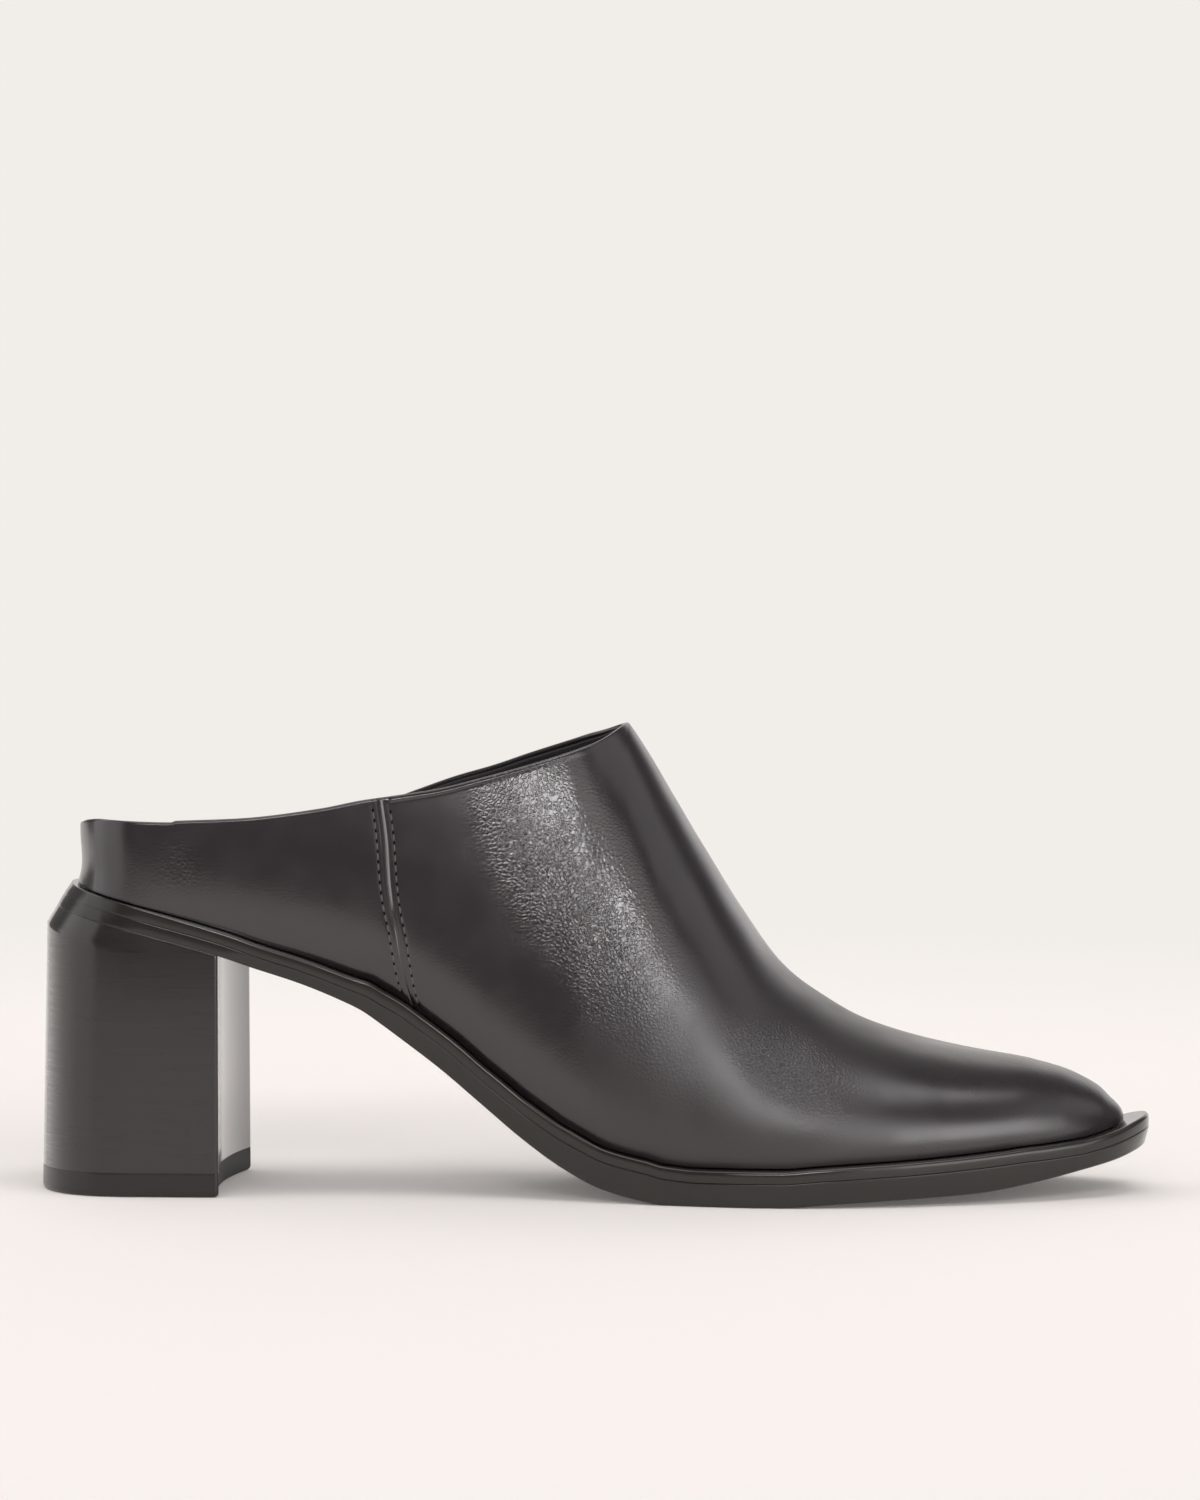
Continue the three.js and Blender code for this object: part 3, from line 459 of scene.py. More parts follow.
    def back_point(self, angle, side, share):
        """Point round the heel: columns fan out about the heel's centre by their angle."""
        line = self.foot[side]
        centre_y = self.centre_at(self.share(self.heel_x)) + self.peak_at(HEEL_CENTRE_SHARE)
        turn = np.arctan2(side * (line[:, 1] - centre_y), self.heel_x - line[:, 0])
        keep = np.append(True, turn[1:] > np.maximum.accumulate(turn)[:-1])
        foot_x = np.interp(angle, turn[keep], line[keep, 0])
        foot_y = np.interp(angle, turn[keep], line[keep, 1])
        reach = np.hypot(foot_x - self.heel_x, foot_y - centre_y)
        x = self.heel_x - reach * np.cos(angle)
        foot = self.foot_height(x)
        height = self.foot_height(self.heel_x) + self.crown_at(HEEL_CENTRE_SHARE) - foot
        cut = (self.collar_height(x, side) - foot) / height
        t = share * cut
        hollow = self.s.counter_hollow * np.sin(np.pi * share ** HOLLOW_SKEW) ** 2
        hollow = (hollow + self.s.counter_lean * share) * np.cos(angle) ** 2
        power = self.power_at[side](HEEL_CENTRE_SHARE)
        radius = self.half_section(reach, self.swell_at(self.along(x)), power, height, t) - hollow
        return np.stack([self.heel_x - radius * np.cos(angle),
                         centre_y + side * radius * np.sin(angle), foot + t * height], axis=-1)


# Meshes

def clean_faces(quads):
    """Quads and triangles without the corners that fell together."""
    same = quads == np.roll(quads, -1, axis=1)
    count = same.sum(axis=1)
    once = quads[count == 1][~same[count == 1]].reshape(-1, 3)
    return quads[count == 0], once


def grid_faces(rows, columns, wrap=False):
    """Quads of a rows x columns grid of points, whose second direction may close on itself."""
    last = columns if wrap else columns - 1
    i, j = np.meshgrid(np.arange(rows - 1), np.arange(last), indexing="ij")
    a = i * columns + j
    b = i * columns + (j + 1) % columns
    return np.stack([a, b, b + columns, a + columns], axis=-1).reshape(-1, 4)


def merged(points):
    """First of each group of points that fall together, and the group of each point."""
    keys = np.round(points / SAME_PLACE).astype(np.int64)
    _, first, group = np.unique(keys, axis=0, return_index=True, return_inverse=True)
    return first, group.reshape(-1)


def enclosed_volume(points, quads):
    """Signed volume of a closed surface, positive where its faces point outwards."""
    a, b, c, d = (points[quads[:, k]] for k in range(4))
    return float((np.cross(a, b) * c + np.cross(a, c) * d).sum() / 6)


def make_mesh(name, points, quads, material, slot):
    """Closed smooth mesh from points and quads, riding on the part's one body."""
    if enclosed_volume(points, quads) < 0:
        quads = quads[:, ::-1]
    first, group = merged(points)
    fours, threes = clean_faces(group[quads])
    mesh = bpy.data.meshes.new(name)
    mesh.from_pydata(points[first].tolist(), [], fours.tolist() + threes.tolist())
    mesh.validate()
    mesh.polygons.foreach_set("use_smooth", np.ones(len(mesh.polygons), bool))
    mesh.materials.append(material)
    piece = bpy.data.objects.new(name, mesh)
    bpy.context.scene.collection.objects.link(piece)
    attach(piece, "root")
    return piece


def point_attribute(piece, name, function):
    """Stores function(points) on the mesh's corners, for its material to read."""
    mesh = piece.data
    co = np.empty(len(mesh.vertices) * 3, np.float32)
    mesh.vertices.foreach_get("co", co)
    layer = mesh.attributes.new(name, "FLOAT", "POINT")
    layer.data.foreach_set("value", function(co.reshape(-1, 3)).astype(np.float32))


def plate(form, stations, rows, across):
    """Closed plate with the sole's outline.

    rows run up the edge; each is (inset along the inward direction, height as a function of x).
    The bottom and top are ruled across from the outer to the inner edge.
    """
    edges = {}
    for side in (OUTER, INNER):
        y, in_x, in_y = form.outline(stations, side)
        layers = []
        for inset, height in rows:
            shift = inset(stations)
            x = stations + in_x * shift
            layers.append(np.stack([x, y + in_y * shift, height(x)], axis=-1))
        edges[side] = np.stack(layers, axis=1)
    ways = np.linspace(0, 1, across + 1)[1:-1, None]

    def ruled(start, end, height):
        bridge = start[:, None] * (1 - ways) + end[:, None] * ways
        bridge[..., 2] = height(bridge[..., 0])
        return bridge

    top = ruled(edges[OUTER][:, -1], edges[INNER][:, -1], rows[-1][1])
    bottom = ruled(edges[INNER][:, 0], edges[OUTER][:, 0], rows[0][1])
    loop = np.concatenate([edges[OUTER], top, edges[INNER][:, ::-1], bottom], axis=1)
    return loop.reshape(-1, 3), grid_faces(loop.shape[0], loop.shape[1], wrap=True)


def quarter_round(steps):
    """Shares (1 - sine, 1 - cosine) of the radius at equal turns through a quarter circle."""
    return [(1 - math.sin(a), 1 - math.cos(a)) for a in np.linspace(0, np.pi / 2, steps)]


def edge_rows(low, high, low_inset, high_inset, low_radius, high_radius, belly=0.0, steps=5, walls=6):
    """Rows up a rounded edge: a quarter round, a wall with a slight belly, a quarter round.

    Heights, insets and radii are functions of x.
    """
    rows = []
    for pull, rise in quarter_round(steps):
        rows.append((lambda x, pull=pull: low_inset(x) + low_radius(x) * pull,
                     lambda x, rise=rise: low(x) + low_radius(x) * rise))
    for w in np.linspace(0, 1, walls + 1)[1:-1]:
        rows.append((lambda x, w=w: (1 - w) * low_inset(x) + w * high_inset(x)
                     - belly * math.sin(math.pi * w),
                     lambda x, w=w: (1 - w) * (low(x) + low_radius(x)) + w * (high(x) - high_radius(x))))
    for drop, pull in quarter_round(steps):
        rows.append((lambda x, pull=pull: high_inset(x) + high_radius(x) * pull,
                     lambda x, drop=drop: high(x) - high_radius(x) * drop))
    return rows


# Upper

def quarter_places(form):
    """Places of the side columns from the heel to the throat, crowded together at the seam."""
    seam = form.place(form.seam_at(0.0))
    count = QUARTER_COLUMNS // 2
    back = np.linspace(form.heel_x, seam - SEAM_BAND, count, endpoint=False)
    middle = np.linspace(seam - SEAM_BAND, seam + SEAM_BAND, SEAM_COLUMNS, endpoint=False)
    ease = 1 - (1 - np.arange(count) / count) ** QUARTER_CROWDING
    front = seam + SEAM_BAND + ease * (form.throat_x - seam - SEAM_BAND)
    return np.concatenate([back, middle, front])


def row_shares(cut, power, rows):
    """Shares of a section's height: a sine that crowds the rows at the foot and evens the arch."""
    end = np.arcsin(np.minimum(1, cut) ** (power / 2))
    steps = (np.arange(rows) / (rows - 1)) ** ROW_CROWDING
    return np.sin(end[:, None] * steps) ** (2 / power[:, None])


def side_columns(form, side, rows, rim):
    """Outer face of one side from the heel's centre to the tip, with each point's share of the wall.

    Near the seam the columns lean with it, so that its groove runs between them. rim is how far
    the face ends under the collar.
    """
    vamp = 1 - (1 - np.arange(VAMP_COLUMNS + 1) / VAMP_COLUMNS) ** VAMP_CROWDING
    base = np.concatenate([quarter_places(form), form.throat_x + (form.foot_tip - form.throat_x) * vamp])
    power = form.power_at[side](form.along(base))
    cut = form.side_cut(base, side)
    share = row_shares(cut, power, rows) / cut[:, None]
    crowded = row_shares(cut, power, rows - RIM_ROWS) / cut[:, None]
    band = RIM_BAND / np.maximum(cut * form.crown_at(form.along(base)), 4 * RIM_BAND)[:, None]
    last = 1 - band * (1 - np.arange(1, RIM_ROWS + 1) / RIM_ROWS)
    crowded = np.concatenate([crowded * (1 - band), last], axis=1)
    near_rim = (smooth_step(form.heel_x, form.heel_x + RIM_START, base)
                * form.before_throat(base, *RIM_END))[:, None]
    share = near_rim * crowded + (1 - near_rim) * share
    foot = form.place(form.seam_at(0.0))
    lean = bump(base - foot, LEAN_REACH) * form.before_throat(base, LEAN_END)
    x = base[:, None] + lean[:, None] * (form.place(form.seam_at(share)) - foot)
    lowered = rim * form.before_throat(x, LOWERED_END)
    lowered = lowered / np.maximum(form.crown_at(form.along(x)), MM)
    t = share * np.where(base[:, None] < form.throat_x - TINY, form.side_cut(x, side) - lowered, 1.0)
    return form.side_point(x, side, np.clip(t, 0, 1)), share


def back_columns(form, rows, rim):
    """Outer face round the heel, from the outer to the inner side."""
    turn = np.pi * np.arange(1, BACK_COLUMNS) / BACK_COLUMNS - np.pi / 2
    steps = (np.arange(rows) / (rows - 1)) ** BACK_ROW_CROWDING
    columns = []
    for side, pick in ((OUTER, turn < 0), (INNER, turn >= 0)):
        angle = np.abs(turn[pick])[:, None]
        share = steps[None, :] * (1 - rim / form.s.collar_depth)
        columns.append(form.back_point(angle, side, share))
    return np.concatenate(columns), np.tile(steps, (BACK_COLUMNS - 1, 1))


def upper_face(form, rows, rim):
    """Columns of the outer face in order: tip, outer side, round the heel, inner side, tip."""
    outer, outer_share = side_columns(form, OUTER, rows, rim)
    inner, inner_share = side_columns(form, INNER, rows, rim)
    back, back_share = back_columns(form, rows, rim)
    points = np.concatenate([outer[::-1], back, inner])
    share = np.concatenate([outer_share[::-1], back_share, inner_share])
    return points, share


def surface_normals(points):
    """Unit normals of a grid whose equal corners count as one: the sum of their faces' areas."""
    rows, columns = points.shape[:2]
    quads = grid_faces(rows, columns)
    flat = points.reshape(-1, 3)
    first, group = merged(flat)
    corner = flat[quads]
    area = np.cross(corner[:, 2] - corner[:, 0], corner[:, 3] - corner[:, 1])
    total = np.zeros((len(first), 3))
    for k in range(4):
        np.add.at(total, group[quads[:, k]], area)
    normal = unit(total)[group].reshape(points.shape)
    return normal if normal[rows // 4, columns // 3, 1] < 0 else -normal


def rim_arc(top, normal, radius, steps):
    """Half circle over the collar, from the outer face's top to the wall's other side.

    Its plane holds the wall's normal and the direction at right angles to it and to the collar.
    """
    around = np.roll(top, -1, axis=0) - np.roll(top, 1, axis=0)
    around[0] = around[-1] = top[1] - top[-2]
    up = unit(np.cross(around, normal))
    up *= 1.0 if up[len(top) // 2, 2] > 0 else -1.0
    angle = np.linspace(0, np.pi, steps)[None, :, None]
    return (top[:, None] - radius * (1 - np.cos(angle)) * normal[:, None]
            + radius * np.sin(angle) * up[:, None])


def shell(form, outer, normal, depth, thickness, inner_rows, rim_steps):
    """Closed shell: the outer face sunk by depth, a rounded rim, the inner face and the foot."""
    columns, rows = outer.shape[:2]
    face = outer - depth * normal
    pick = np.unique(np.round(np.linspace(0, rows - 1, inner_rows)).astype(int))
    back = face[:, pick] - thickness * normal[:, pick]
    for wall in (face, back):
        wall[:, 0, 2] = form.foot_height(wall[:, 0, 0])
    size, count = columns * rows, len(pick)
    i = np.arange(columns - 1)
    opening = np.arange(VAMP_COLUMNS, columns - VAMP_COLUMNS)
    arc = rim_arc(face[opening, -1], normal[opening, -1], thickness / 2, rim_steps)
    arc[:, -1] = back[opening, -1]
    quads = [
        grid_faces(columns, rows),
        size + grid_faces(columns, count)[:, ::-1],
        np.stack([i * rows, (i + 1) * rows, size + (i + 1) * count, size + i * count], axis=-1),
        size + columns * count + grid_faces(len(opening), rim_steps),
    ]
    points = np.concatenate([face.reshape(-1, 3), back.reshape(-1, 3), arc.reshape(-1, 3)])
    return points, np.concatenate(quads)


def turned_axes(x, z, degrees):
    """The place (x, z) in axes turned by these degrees."""
    turn = math.radians(degrees)
    return x * math.cos(turn) + z * math.sin(turn), z * math.cos(turn) - x * math.sin(turn)


def upper_relief(form, points, share, below):
    """Height of the leather's relief: the seams, their stitch rows, the turned edge and the creases.

    share is each point's share of the wall's height, below its distance under the collar.
    """
    x, y, z = points[..., 0], points[..., 1], points[..., 2]
    ahead = x - form.place(form.seam_at(share))
    ridge = RIDGE_RISE * smooth_step(*RISE_SPAN, share) - RIDGE_SINK * (1 - smooth_step(*SINK_SPAN, share))
    seam = (ridge * bump(ahead, RIDGE_WIDTH)
            - SEAM_GROOVE_DEPTH * bump(np.abs(ahead) - SEAM_GROOVE_PLACE, RIDGE_WIDTH)
            - STITCH_GROOVE_DEPTH * bump(np.abs(ahead) - form.s.stitch_offset, STITCH_GROOVE_WIDTH))
    turned = BEAD_RISE * bump(below - BEAD_PLACE, BEAD_WIDTH) * smooth_step(*TURNED_START, ahead)
    turned = turned * form.before_throat(x, *TURNED_END)
    relief = (seam + turned) * MM
    outer_side = smooth_step(0.0, 8 * MM, form.centre_at(form.share(x)) - y)
    for place_x, place_z, lean, long, wide, depth in CREASE_ROWS:
        across, along = turned_axes(x - place_x * MM, z - place_z * MM, lean)
        fold = bump(across, wide * MM) - 0.6 * bump(np.abs(across) - 1.5 * wide * MM, 0.9 * wide * MM)
        relief -= depth * MM * outer_side * bump(along, long * MM) * fold
    return relief


def crinkle(points):
    """Share of crinkled grain at each point: bell-shaped patches on the outer side."""
    x, y, z = points[:, 0], points[:, 1], points[:, 2]
    share = np.zeros(len(points))
    for place_x, place_z, long, wide, slope, strength in CRINKLE_ROWS:
        along, across = turned_axes(x - place_x * MM, z - place_z * MM, slope)
        share = np.maximum(share, strength * bump(np.hypot(along / long, across / wide), MM))
    return share * smooth_step(0.0, 6 * MM, -y)


def dulled(points):
    """Share of lost gloss at each point: it grows down the vamp toward the creased forefoot."""
    x, z = points[:, 0], points[:, 2]
    down = smooth_step(*DULL_HEIGHT, z) * smooth_step(*DULL_PLACE, x)
    return down * (1 - GLOSS_SHARE * smooth_step(*GLOSS_PLACE, x))


def seam_surface(form, side, offset, height):
    """Points beside the seam at these shares of the wall's height."""
    x = form.place(form.seam_at(height)) + offset
    return form.side_point(x, side, height * form.side_cut(x, side))


def stitch_heights(form, side, offset):
    """Shares of the wall's height at which the stitches of a row end, at equal steps along it."""
    share = np.linspace(0.0, 1.0, 400)
    line = seam_surface(form, side, offset, share)
    length = np.append(0, np.cumsum(np.linalg.norm(np.diff(line, axis=0), axis=1)))
    places = np.arange(STITCHES_START, length[-1] - STITCHES_END, form.s.stitch_pitch)
    return np.interp(places, length, share)


def seam_frames(form, side, offset, height):
    """Place, direction and outward normal of the relief beside the seam at these heights."""
    step, side_step = 0.004, 0.3 * MM
    along = unit(seam_surface(form, side, offset, height + step)
                 - seam_surface(form, side, offset, height - step))
    ahead = (seam_surface(form, side, offset + side_step, height)
             - seam_surface(form, side, offset - side_step, height))
    normal = unit(np.cross(ahead, along))
    normal *= np.sign(normal[:, 1:2] * side)
    place = seam_surface(form, side, offset, height)
    relief = upper_relief(form, place, height, np.full(len(height), np.inf))
    return place + relief[:, None] * normal, along, normal


def beads(place, along, normal, size, rise, rings=6, sides=8):
    """One ellipsoid at each place: half an ellipse's arc turned about the row's direction."""
    lengthwise = np.linspace(0, np.pi, rings + 1)
    turn = 2 * np.pi * np.arange(sides) / sides
    a, b = np.meshgrid(lengthwise, turn, indexing="ij")
    local = np.stack([size[0] * np.cos(a), size[1] * np.sin(a) * np.cos(b),
                      size[2] * np.sin(a) * np.sin(b) + rise], axis=-1).reshape(1, -1, 3)
    across = np.cross(normal, along)
    points = (place[:, None] + local[..., :1] * along[:, None] + local[..., 1:2] * across[:, None]
              + local[..., 2:] * normal[:, None])
    first = np.arange(len(place))[:, None, None] * local.shape[1]
    return points.reshape(-1, 3), (first + grid_faces(rings + 1, sides, wrap=True)).reshape(-1, 4)


def cord(place, along, normal, radius, sides=8):
    """Closed cord along a line: circles at right angles to it that shrink at both ends."""
    turn = 2 * np.pi * np.arange(sides)[:, None] / sides
    across = np.cross(normal, along)
    taper = np.clip(np.sin(np.linspace(0, np.pi, len(place))), 0, 1) ** 0.25
    ring = across[:, None] * np.cos(turn) + normal[:, None] * np.sin(turn)
    points = place[:, None] + radius * taper[:, None, None] * ring
    return points.reshape(-1, 3), grid_faces(len(place), sides, wrap=True)


def joined(parts):
    """Several lists of points and faces as one."""
    starts = np.cumsum([0] + [len(points) for points, _ in parts[:-1]])
    return (np.concatenate([points for points, _ in parts]),
            np.concatenate([quads + start for (_, quads), start in zip(parts, starts)]))


# Heel

def heel_loop(form, inset, breast_inset):
    """Plan of the heel: sides and back from the sole's outline, breast a hollow arc."""
    corner = form.back + form.s.heel_length

    def breast(y):
        return form.breast(y) - breast_inset

    def moved(x, side):
        y, in_x, in_y = form.outline(x, side)
        return np.stack([x + in_x * inset(x), y + in_y * inset(x)], axis=-1)

    sides = {}
    for side in (OUTER, INNER):
        end = corner - breast_inset
        for _ in range(8):  # each step brings the side's end closer to the breast
            place = moved(np.array([end]), side)[0]
            end += breast(place[1]) - place[0]
        t = 1 - np.cos(np.pi * np.arange(HEEL_SIDE_STEPS + 1) / (2 * HEEL_SIDE_STEPS))
        sides[side] = moved(form.back + t * (end - form.back), side)
    across = np.linspace(sides[INNER][-1, 1], sides[OUTER][-1, 1], BREAST_STEPS + 1)[1:-1]
    arc = np.stack([breast(across), across], axis=-1)
    return np.concatenate([sides[OUTER][::-1], sides[INNER][1:], arc])


def even_loop(loop, count, softening):
    """The same closed loop at equal steps, its corners rounded by averaging neighbours."""
    closed = np.vstack([loop, loop[:1]])
    length = np.append(0, np.cumsum(np.linalg.norm(np.diff(closed, axis=0), axis=1)))
    place = np.arange(count) * length[-1] / count
    even = np.stack([np.interp(place, length, closed[:, k]) for k in range(2)], axis=-1)
    for _ in range(softening):
        even = even / 2 + (np.roll(even, 1, axis=0) + np.roll(even, -1, axis=0)) / 4
    return even


def block_levels(low, high, inset, low_radius, high_radius, walls):
    """Levels up a block with rounded edges: (inset along the outline, breast inset, height)."""
    levels = [(low_radius * pull, 0.0, low_radius * rise) for pull, rise in quarter_round(5)]
    levels += [(0.0, share, 0.0) for share in np.linspace(0, 1, walls + 1)[1:-1]]
    levels += [(high_radius * pull, 1.0, -high_radius * drop) for drop, pull in quarter_round(5)]
    made = []
    for pull, share, rise in levels:
        def height(x, share=share, rise=rise):
            if 0 < share < 1:
                return (1 - share) * (low(x) + low_radius) + share * (high(x) - high_radius)
            return (high(x) if share else low(x)) + rise
        made.append((lambda x, pull=pull, height=height: inset(x, height(x)) + pull, pull, height))
    return made


def block(form, levels, rings=12):
    """Closed block: plan loops one over the other, capped by loops that shrink to a point."""
    stack = []
    for inset, breast_inset, height in levels:
        loop = even_loop(heel_loop(form, inset, breast_inset), HEEL_COLUMNS, softening=6)
        stack.append(np.column_stack([loop, height(loop[:, 0])]))
    middle = np.array([form.back + form.s.heel_length / 2, 0.0])

    def cap(loop, height):
        shrunk = [middle + k * (loop[:, :2] - middle) for k in np.linspace(1, 0, rings + 1)[1:]]
        return [np.column_stack([flat, height(flat[:, 0])]) for flat in shrunk]

    points = np.stack(cap(stack[0], levels[0][2])[::-1] + stack + cap(stack[-1], levels[-1][2]))
    return points.reshape(-1, 3), grid_faces(points.shape[0], points.shape[1], wrap=True)


# Materials

class Nodes:
    """Node tree of a material or of the world."""

    def __init__(self, tree):
        self.tree = tree

    def node(self, kind, values=None, **settings):
        """A node with these settings; values are numbers or sockets by input name or index."""
        node = self.tree.nodes.new(kind)
        for key, value in settings.items():
            setattr(node, key, value)
        for key, value in (values or {}).items():
            if isinstance(value, bpy.types.NodeSocket):
                self.tree.links.new(value, node.inputs[key])
            else:
                node.inputs[key].default_value = value
        return node

    def math(self, operation, a, b=0.0):
        return self.node("ShaderNodeMath", {0: a, 1: b}, operation=operation).outputs[0]

    def between(self, value, low, high, to_low=0.0, to_high=1.0):
        """Smooth step from to_low to to_high while the value goes from low to high."""
        return self.node("ShaderNodeMapRange", {
            "Value": value, "From Min": low, "From Max": high, "To Min": to_low, "To Max": to_high},
            interpolation_type="SMOOTHSTEP").outputs["Result"]


class Finish(Nodes):
    """One procedural material around a Principled shader, in metres of the object."""

    def __init__(self, name, colour, roughness, specular=0.5, coat=0.0, coat_roughness=0.2):
        self.material = bpy.data.materials.new(name)
        self.material.use_nodes = True
        super().__init__(self.material.node_tree)
        self.surface = self.tree.nodes["Principled BSDF"]
        for key, value in (("Base Color", (*colour, 1)), ("Roughness", roughness),
                           ("Specular IOR Level", specular), ("Coat Weight", coat),
                           ("Coat Roughness", coat_roughness)):
            self.surface.inputs[key].default_value = value
        self.place = self.node("ShaderNodeTexCoord").outputs["Object"]
        self.material.diffuse_color = (*colour, 1)

    def attribute(self, name):
        return self.node("ShaderNodeAttribute", attribute_name=name).outputs["Fac"]

    def noise(self, size, detail=2.0, roughness=0.5, stretch=(1, 1, 1)):
        """Noise of about 0 to 1 whose features are size metres across, drawn out by stretch."""
        place = self.node("ShaderNodeMapping", {"Vector": self.place, "Scale": [1 / s for s in stretch]})
        return self.node("ShaderNodeTexNoise", {
            "Vector": place.outputs[0], "Scale": 1 / size, "Detail": detail,
            "Roughness": roughness}).outputs["Fac"]

    def pebbles(self, size):
        """Pebbles of this size, from the distance to the edge of each Voronoi cell."""
        values = {"Vector": self.place, "Scale": 1 / size}
        return self.node("ShaderNodeTexVoronoi", values, feature="DISTANCE_TO_EDGE").outputs["Distance"]

    def bumps(self, *layers):
        """Chain of bump nodes, each (height, distance in metres, strength)."""
        normal = None
        for height, distance, strength in layers:
            values = {"Height": height, "Distance": distance, "Strength": strength}
            if normal is not None:
                values["Normal"] = normal
            normal = self.node("ShaderNodeBump", values).outputs["Normal"]
        self.tree.links.new(normal, self.surface.inputs["Normal"])

    def roughness(self, value):
        self.tree.links.new(value, self.surface.inputs["Roughness"])

    def colour(self, low, high, share):
        """Base colour from low to high by share."""
        mix = self.node("ShaderNodeMix", {0: share, 6: (*low, 1), 7: (*high, 1)}, data_type="RGBA")
        self.tree.links.new(mix.outputs[2], self.surface.inputs["Base Color"])


def tinted(colour, factor):
    return tuple(min(1.0, channel * factor) for channel in colour)


def leather_finish(colours):
    """Pebbled black leather; the attributes say where it is crinkled and where it is less glossy."""
    made = Finish("black_leather", colours.leather, 0.3, specular=0.85, coat=0.15, coat_roughness=0.3)
    crinkled = made.attribute("crinkle")
    pebbles = made.between(made.pebbles(0.95 * MM), 0.0, 0.32)
    fine = made.noise(0.35 * MM, detail=3.0)
    soft = made.noise(9 * MM, detail=1.0)
    wrinkles = made.noise(0.9 * MM, detail=3.0, roughness=0.6, stretch=(1, 1, 1.5))
    made.bumps(
        (soft, 0.5 * MM, 0.12),
        (wrinkles, 0.15 * MM, made.between(crinkled, 0.2, 1.0)),
        (pebbles, 0.085 * MM, made.between(crinkled, 0.0, 0.8, 0.04, 1.0)),
        (fine, 0.05 * MM, 0.1))
    cloudy = made.between(made.noise(9 * MM, detail=1.0), 0.3, 0.7, 0.18, 0.22)
    made.roughness(made.math("ADD", cloudy, made.between(made.attribute("dulled"), 0.0, 1.0, 0.0, 0.2)))
    made.colour(tinted(colours.leather, 0.8), tinted(colours.leather, 1.3), made.noise(14 * MM))
    return made.material


def lining_finish(colours):
    made = Finish("lining_leather", colours.lining, 0.62)
    made.bumps((made.noise(0.5 * MM, detail=3.0), 0.08 * MM, 0.5))
    made.colour(tinted(colours.lining, 0.8), tinted(colours.lining, 1.25), made.noise(8 * MM))
    return made.material


def edge_finish(colours, name, factor):
    """Burnished leather edge: faint streaks along it and a few shallow nicks."""
    colour = tinted(colours.sole_edge, factor)
    made = Finish(name, colour, 0.42, specular=0.1, coat=1.0, coat_roughness=0.16)
    streaks = made.noise(0.5 * MM, detail=4.0, stretch=(14, 14, 1))
    made.bumps((streaks, 0.06 * MM, 0.3), (made.noise(0.4 * MM, detail=2.0), 0.03 * MM, 0.3))
    made.roughness(made.between(streaks, 0.3, 0.7, 0.38, 0.52))
    made.colour(tinted(colour, 0.75), tinted(colour, 1.3), made.noise(5 * MM, stretch=(3, 3, 1)))
    return made.material


def stack_finish(colours):
    """Polished stack of leather layers: faint level streaks, and a glassy breast."""
    made = Finish("stacked_leather", colours.stack, 0.34, specular=0.2, coat=1.0, coat_roughness=0.1)
    breast = made.attribute("breast")
    streaks = made.noise(0.9 * MM, detail=5.0, roughness=0.6, stretch=(26, 26, 1))
    layers = made.noise(2.2 * MM, detail=1.0, stretch=(60, 60, 1))
    strength = made.between(breast, 0.0, 1.0, 0.2, 0.02)
    made.bumps((layers, 0.08 * MM, strength), (streaks, 0.05 * MM, strength))
    seen = made.math("MULTIPLY", streaks, made.math("SUBTRACT", 1.0, breast))
    made.roughness(made.between(seen, 0.3, 0.7, 0.26, 0.4))
    made.colour(tinted(colours.stack, 0.8), tinted(colours.stack, 1.25), seen)
    return made.material


def rubber_finish(colours):
    """Top piece: burnished like the stack round its edge, matt across the breast."""
    made = Finish("heel_rubber", colours.stack, 0.3)
    breast = made.attribute("breast")
    made.bumps((made.noise(0.5 * MM, detail=3.0), 0.04 * MM, 0.3))
    made.roughness(made.between(breast, 0.0, 1.0, 0.26, 0.6))
    made.colour(colours.stack, colours.rubber, breast)
    return made.material


def thread_finish(colours):
    made = Finish("seam_thread", colours.thread, 0.5)
    made.bumps((made.noise(0.12 * MM), 0.03 * MM, 0.5))
    return made.material


def seam_edge_and_highlight_finish(colours):
    """Cut edge of the leather that shows along the seam, lighter than its face: partly the edge's own
    colour, partly a painted highlight of the seam's ridge.
    """
    made = Finish("seam_edge_and_highlight", tinted(colours.thread, 1.5), 0.35)
    made.bumps((made.noise(0.3 * MM), 0.05 * MM, 0.5))
    return made.material


# Near-black matt beads in the stitch holes: painted shade of the pits
def hole_shade_finish():
    return Finish("stitch_hole_shade", (0.002, 0.002, 0.002), 0.9, specular=0.05).material


# Operators

class MULE_OT_upper(bpy.types.Operator):
    """Leather upper: one shell of vamp and quarter, with its rolled collar, seams and creases"""

    bl_idname = "mule.upper"
    bl_label = "Upper"

    def execute(self, context):
        form = Form(context.scene.mule_sizes)
        thickness = form.s.leather_thickness
        face, share = upper_face(form, UPPER_ROWS, thickness / 2)
        normal = surface_normals(face)
        below = np.linalg.norm(face - face[:, -1:], axis=-1)
        face = face + upper_relief(form, face, share, below)[..., None] * normal
        wall = shell(form, face, normal, 0.0, thickness, inner_rows=16, rim_steps=9)
        piece = make_mesh("upper_leather", *wall, leather_finish(context.scene.mule_colours),
                          "upper_leather")
        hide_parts("upper")
        point_attribute(piece, "crinkle", crinkle)
        point_attribute(piece, "dulled", dulled)
        return {"FINISHED"}


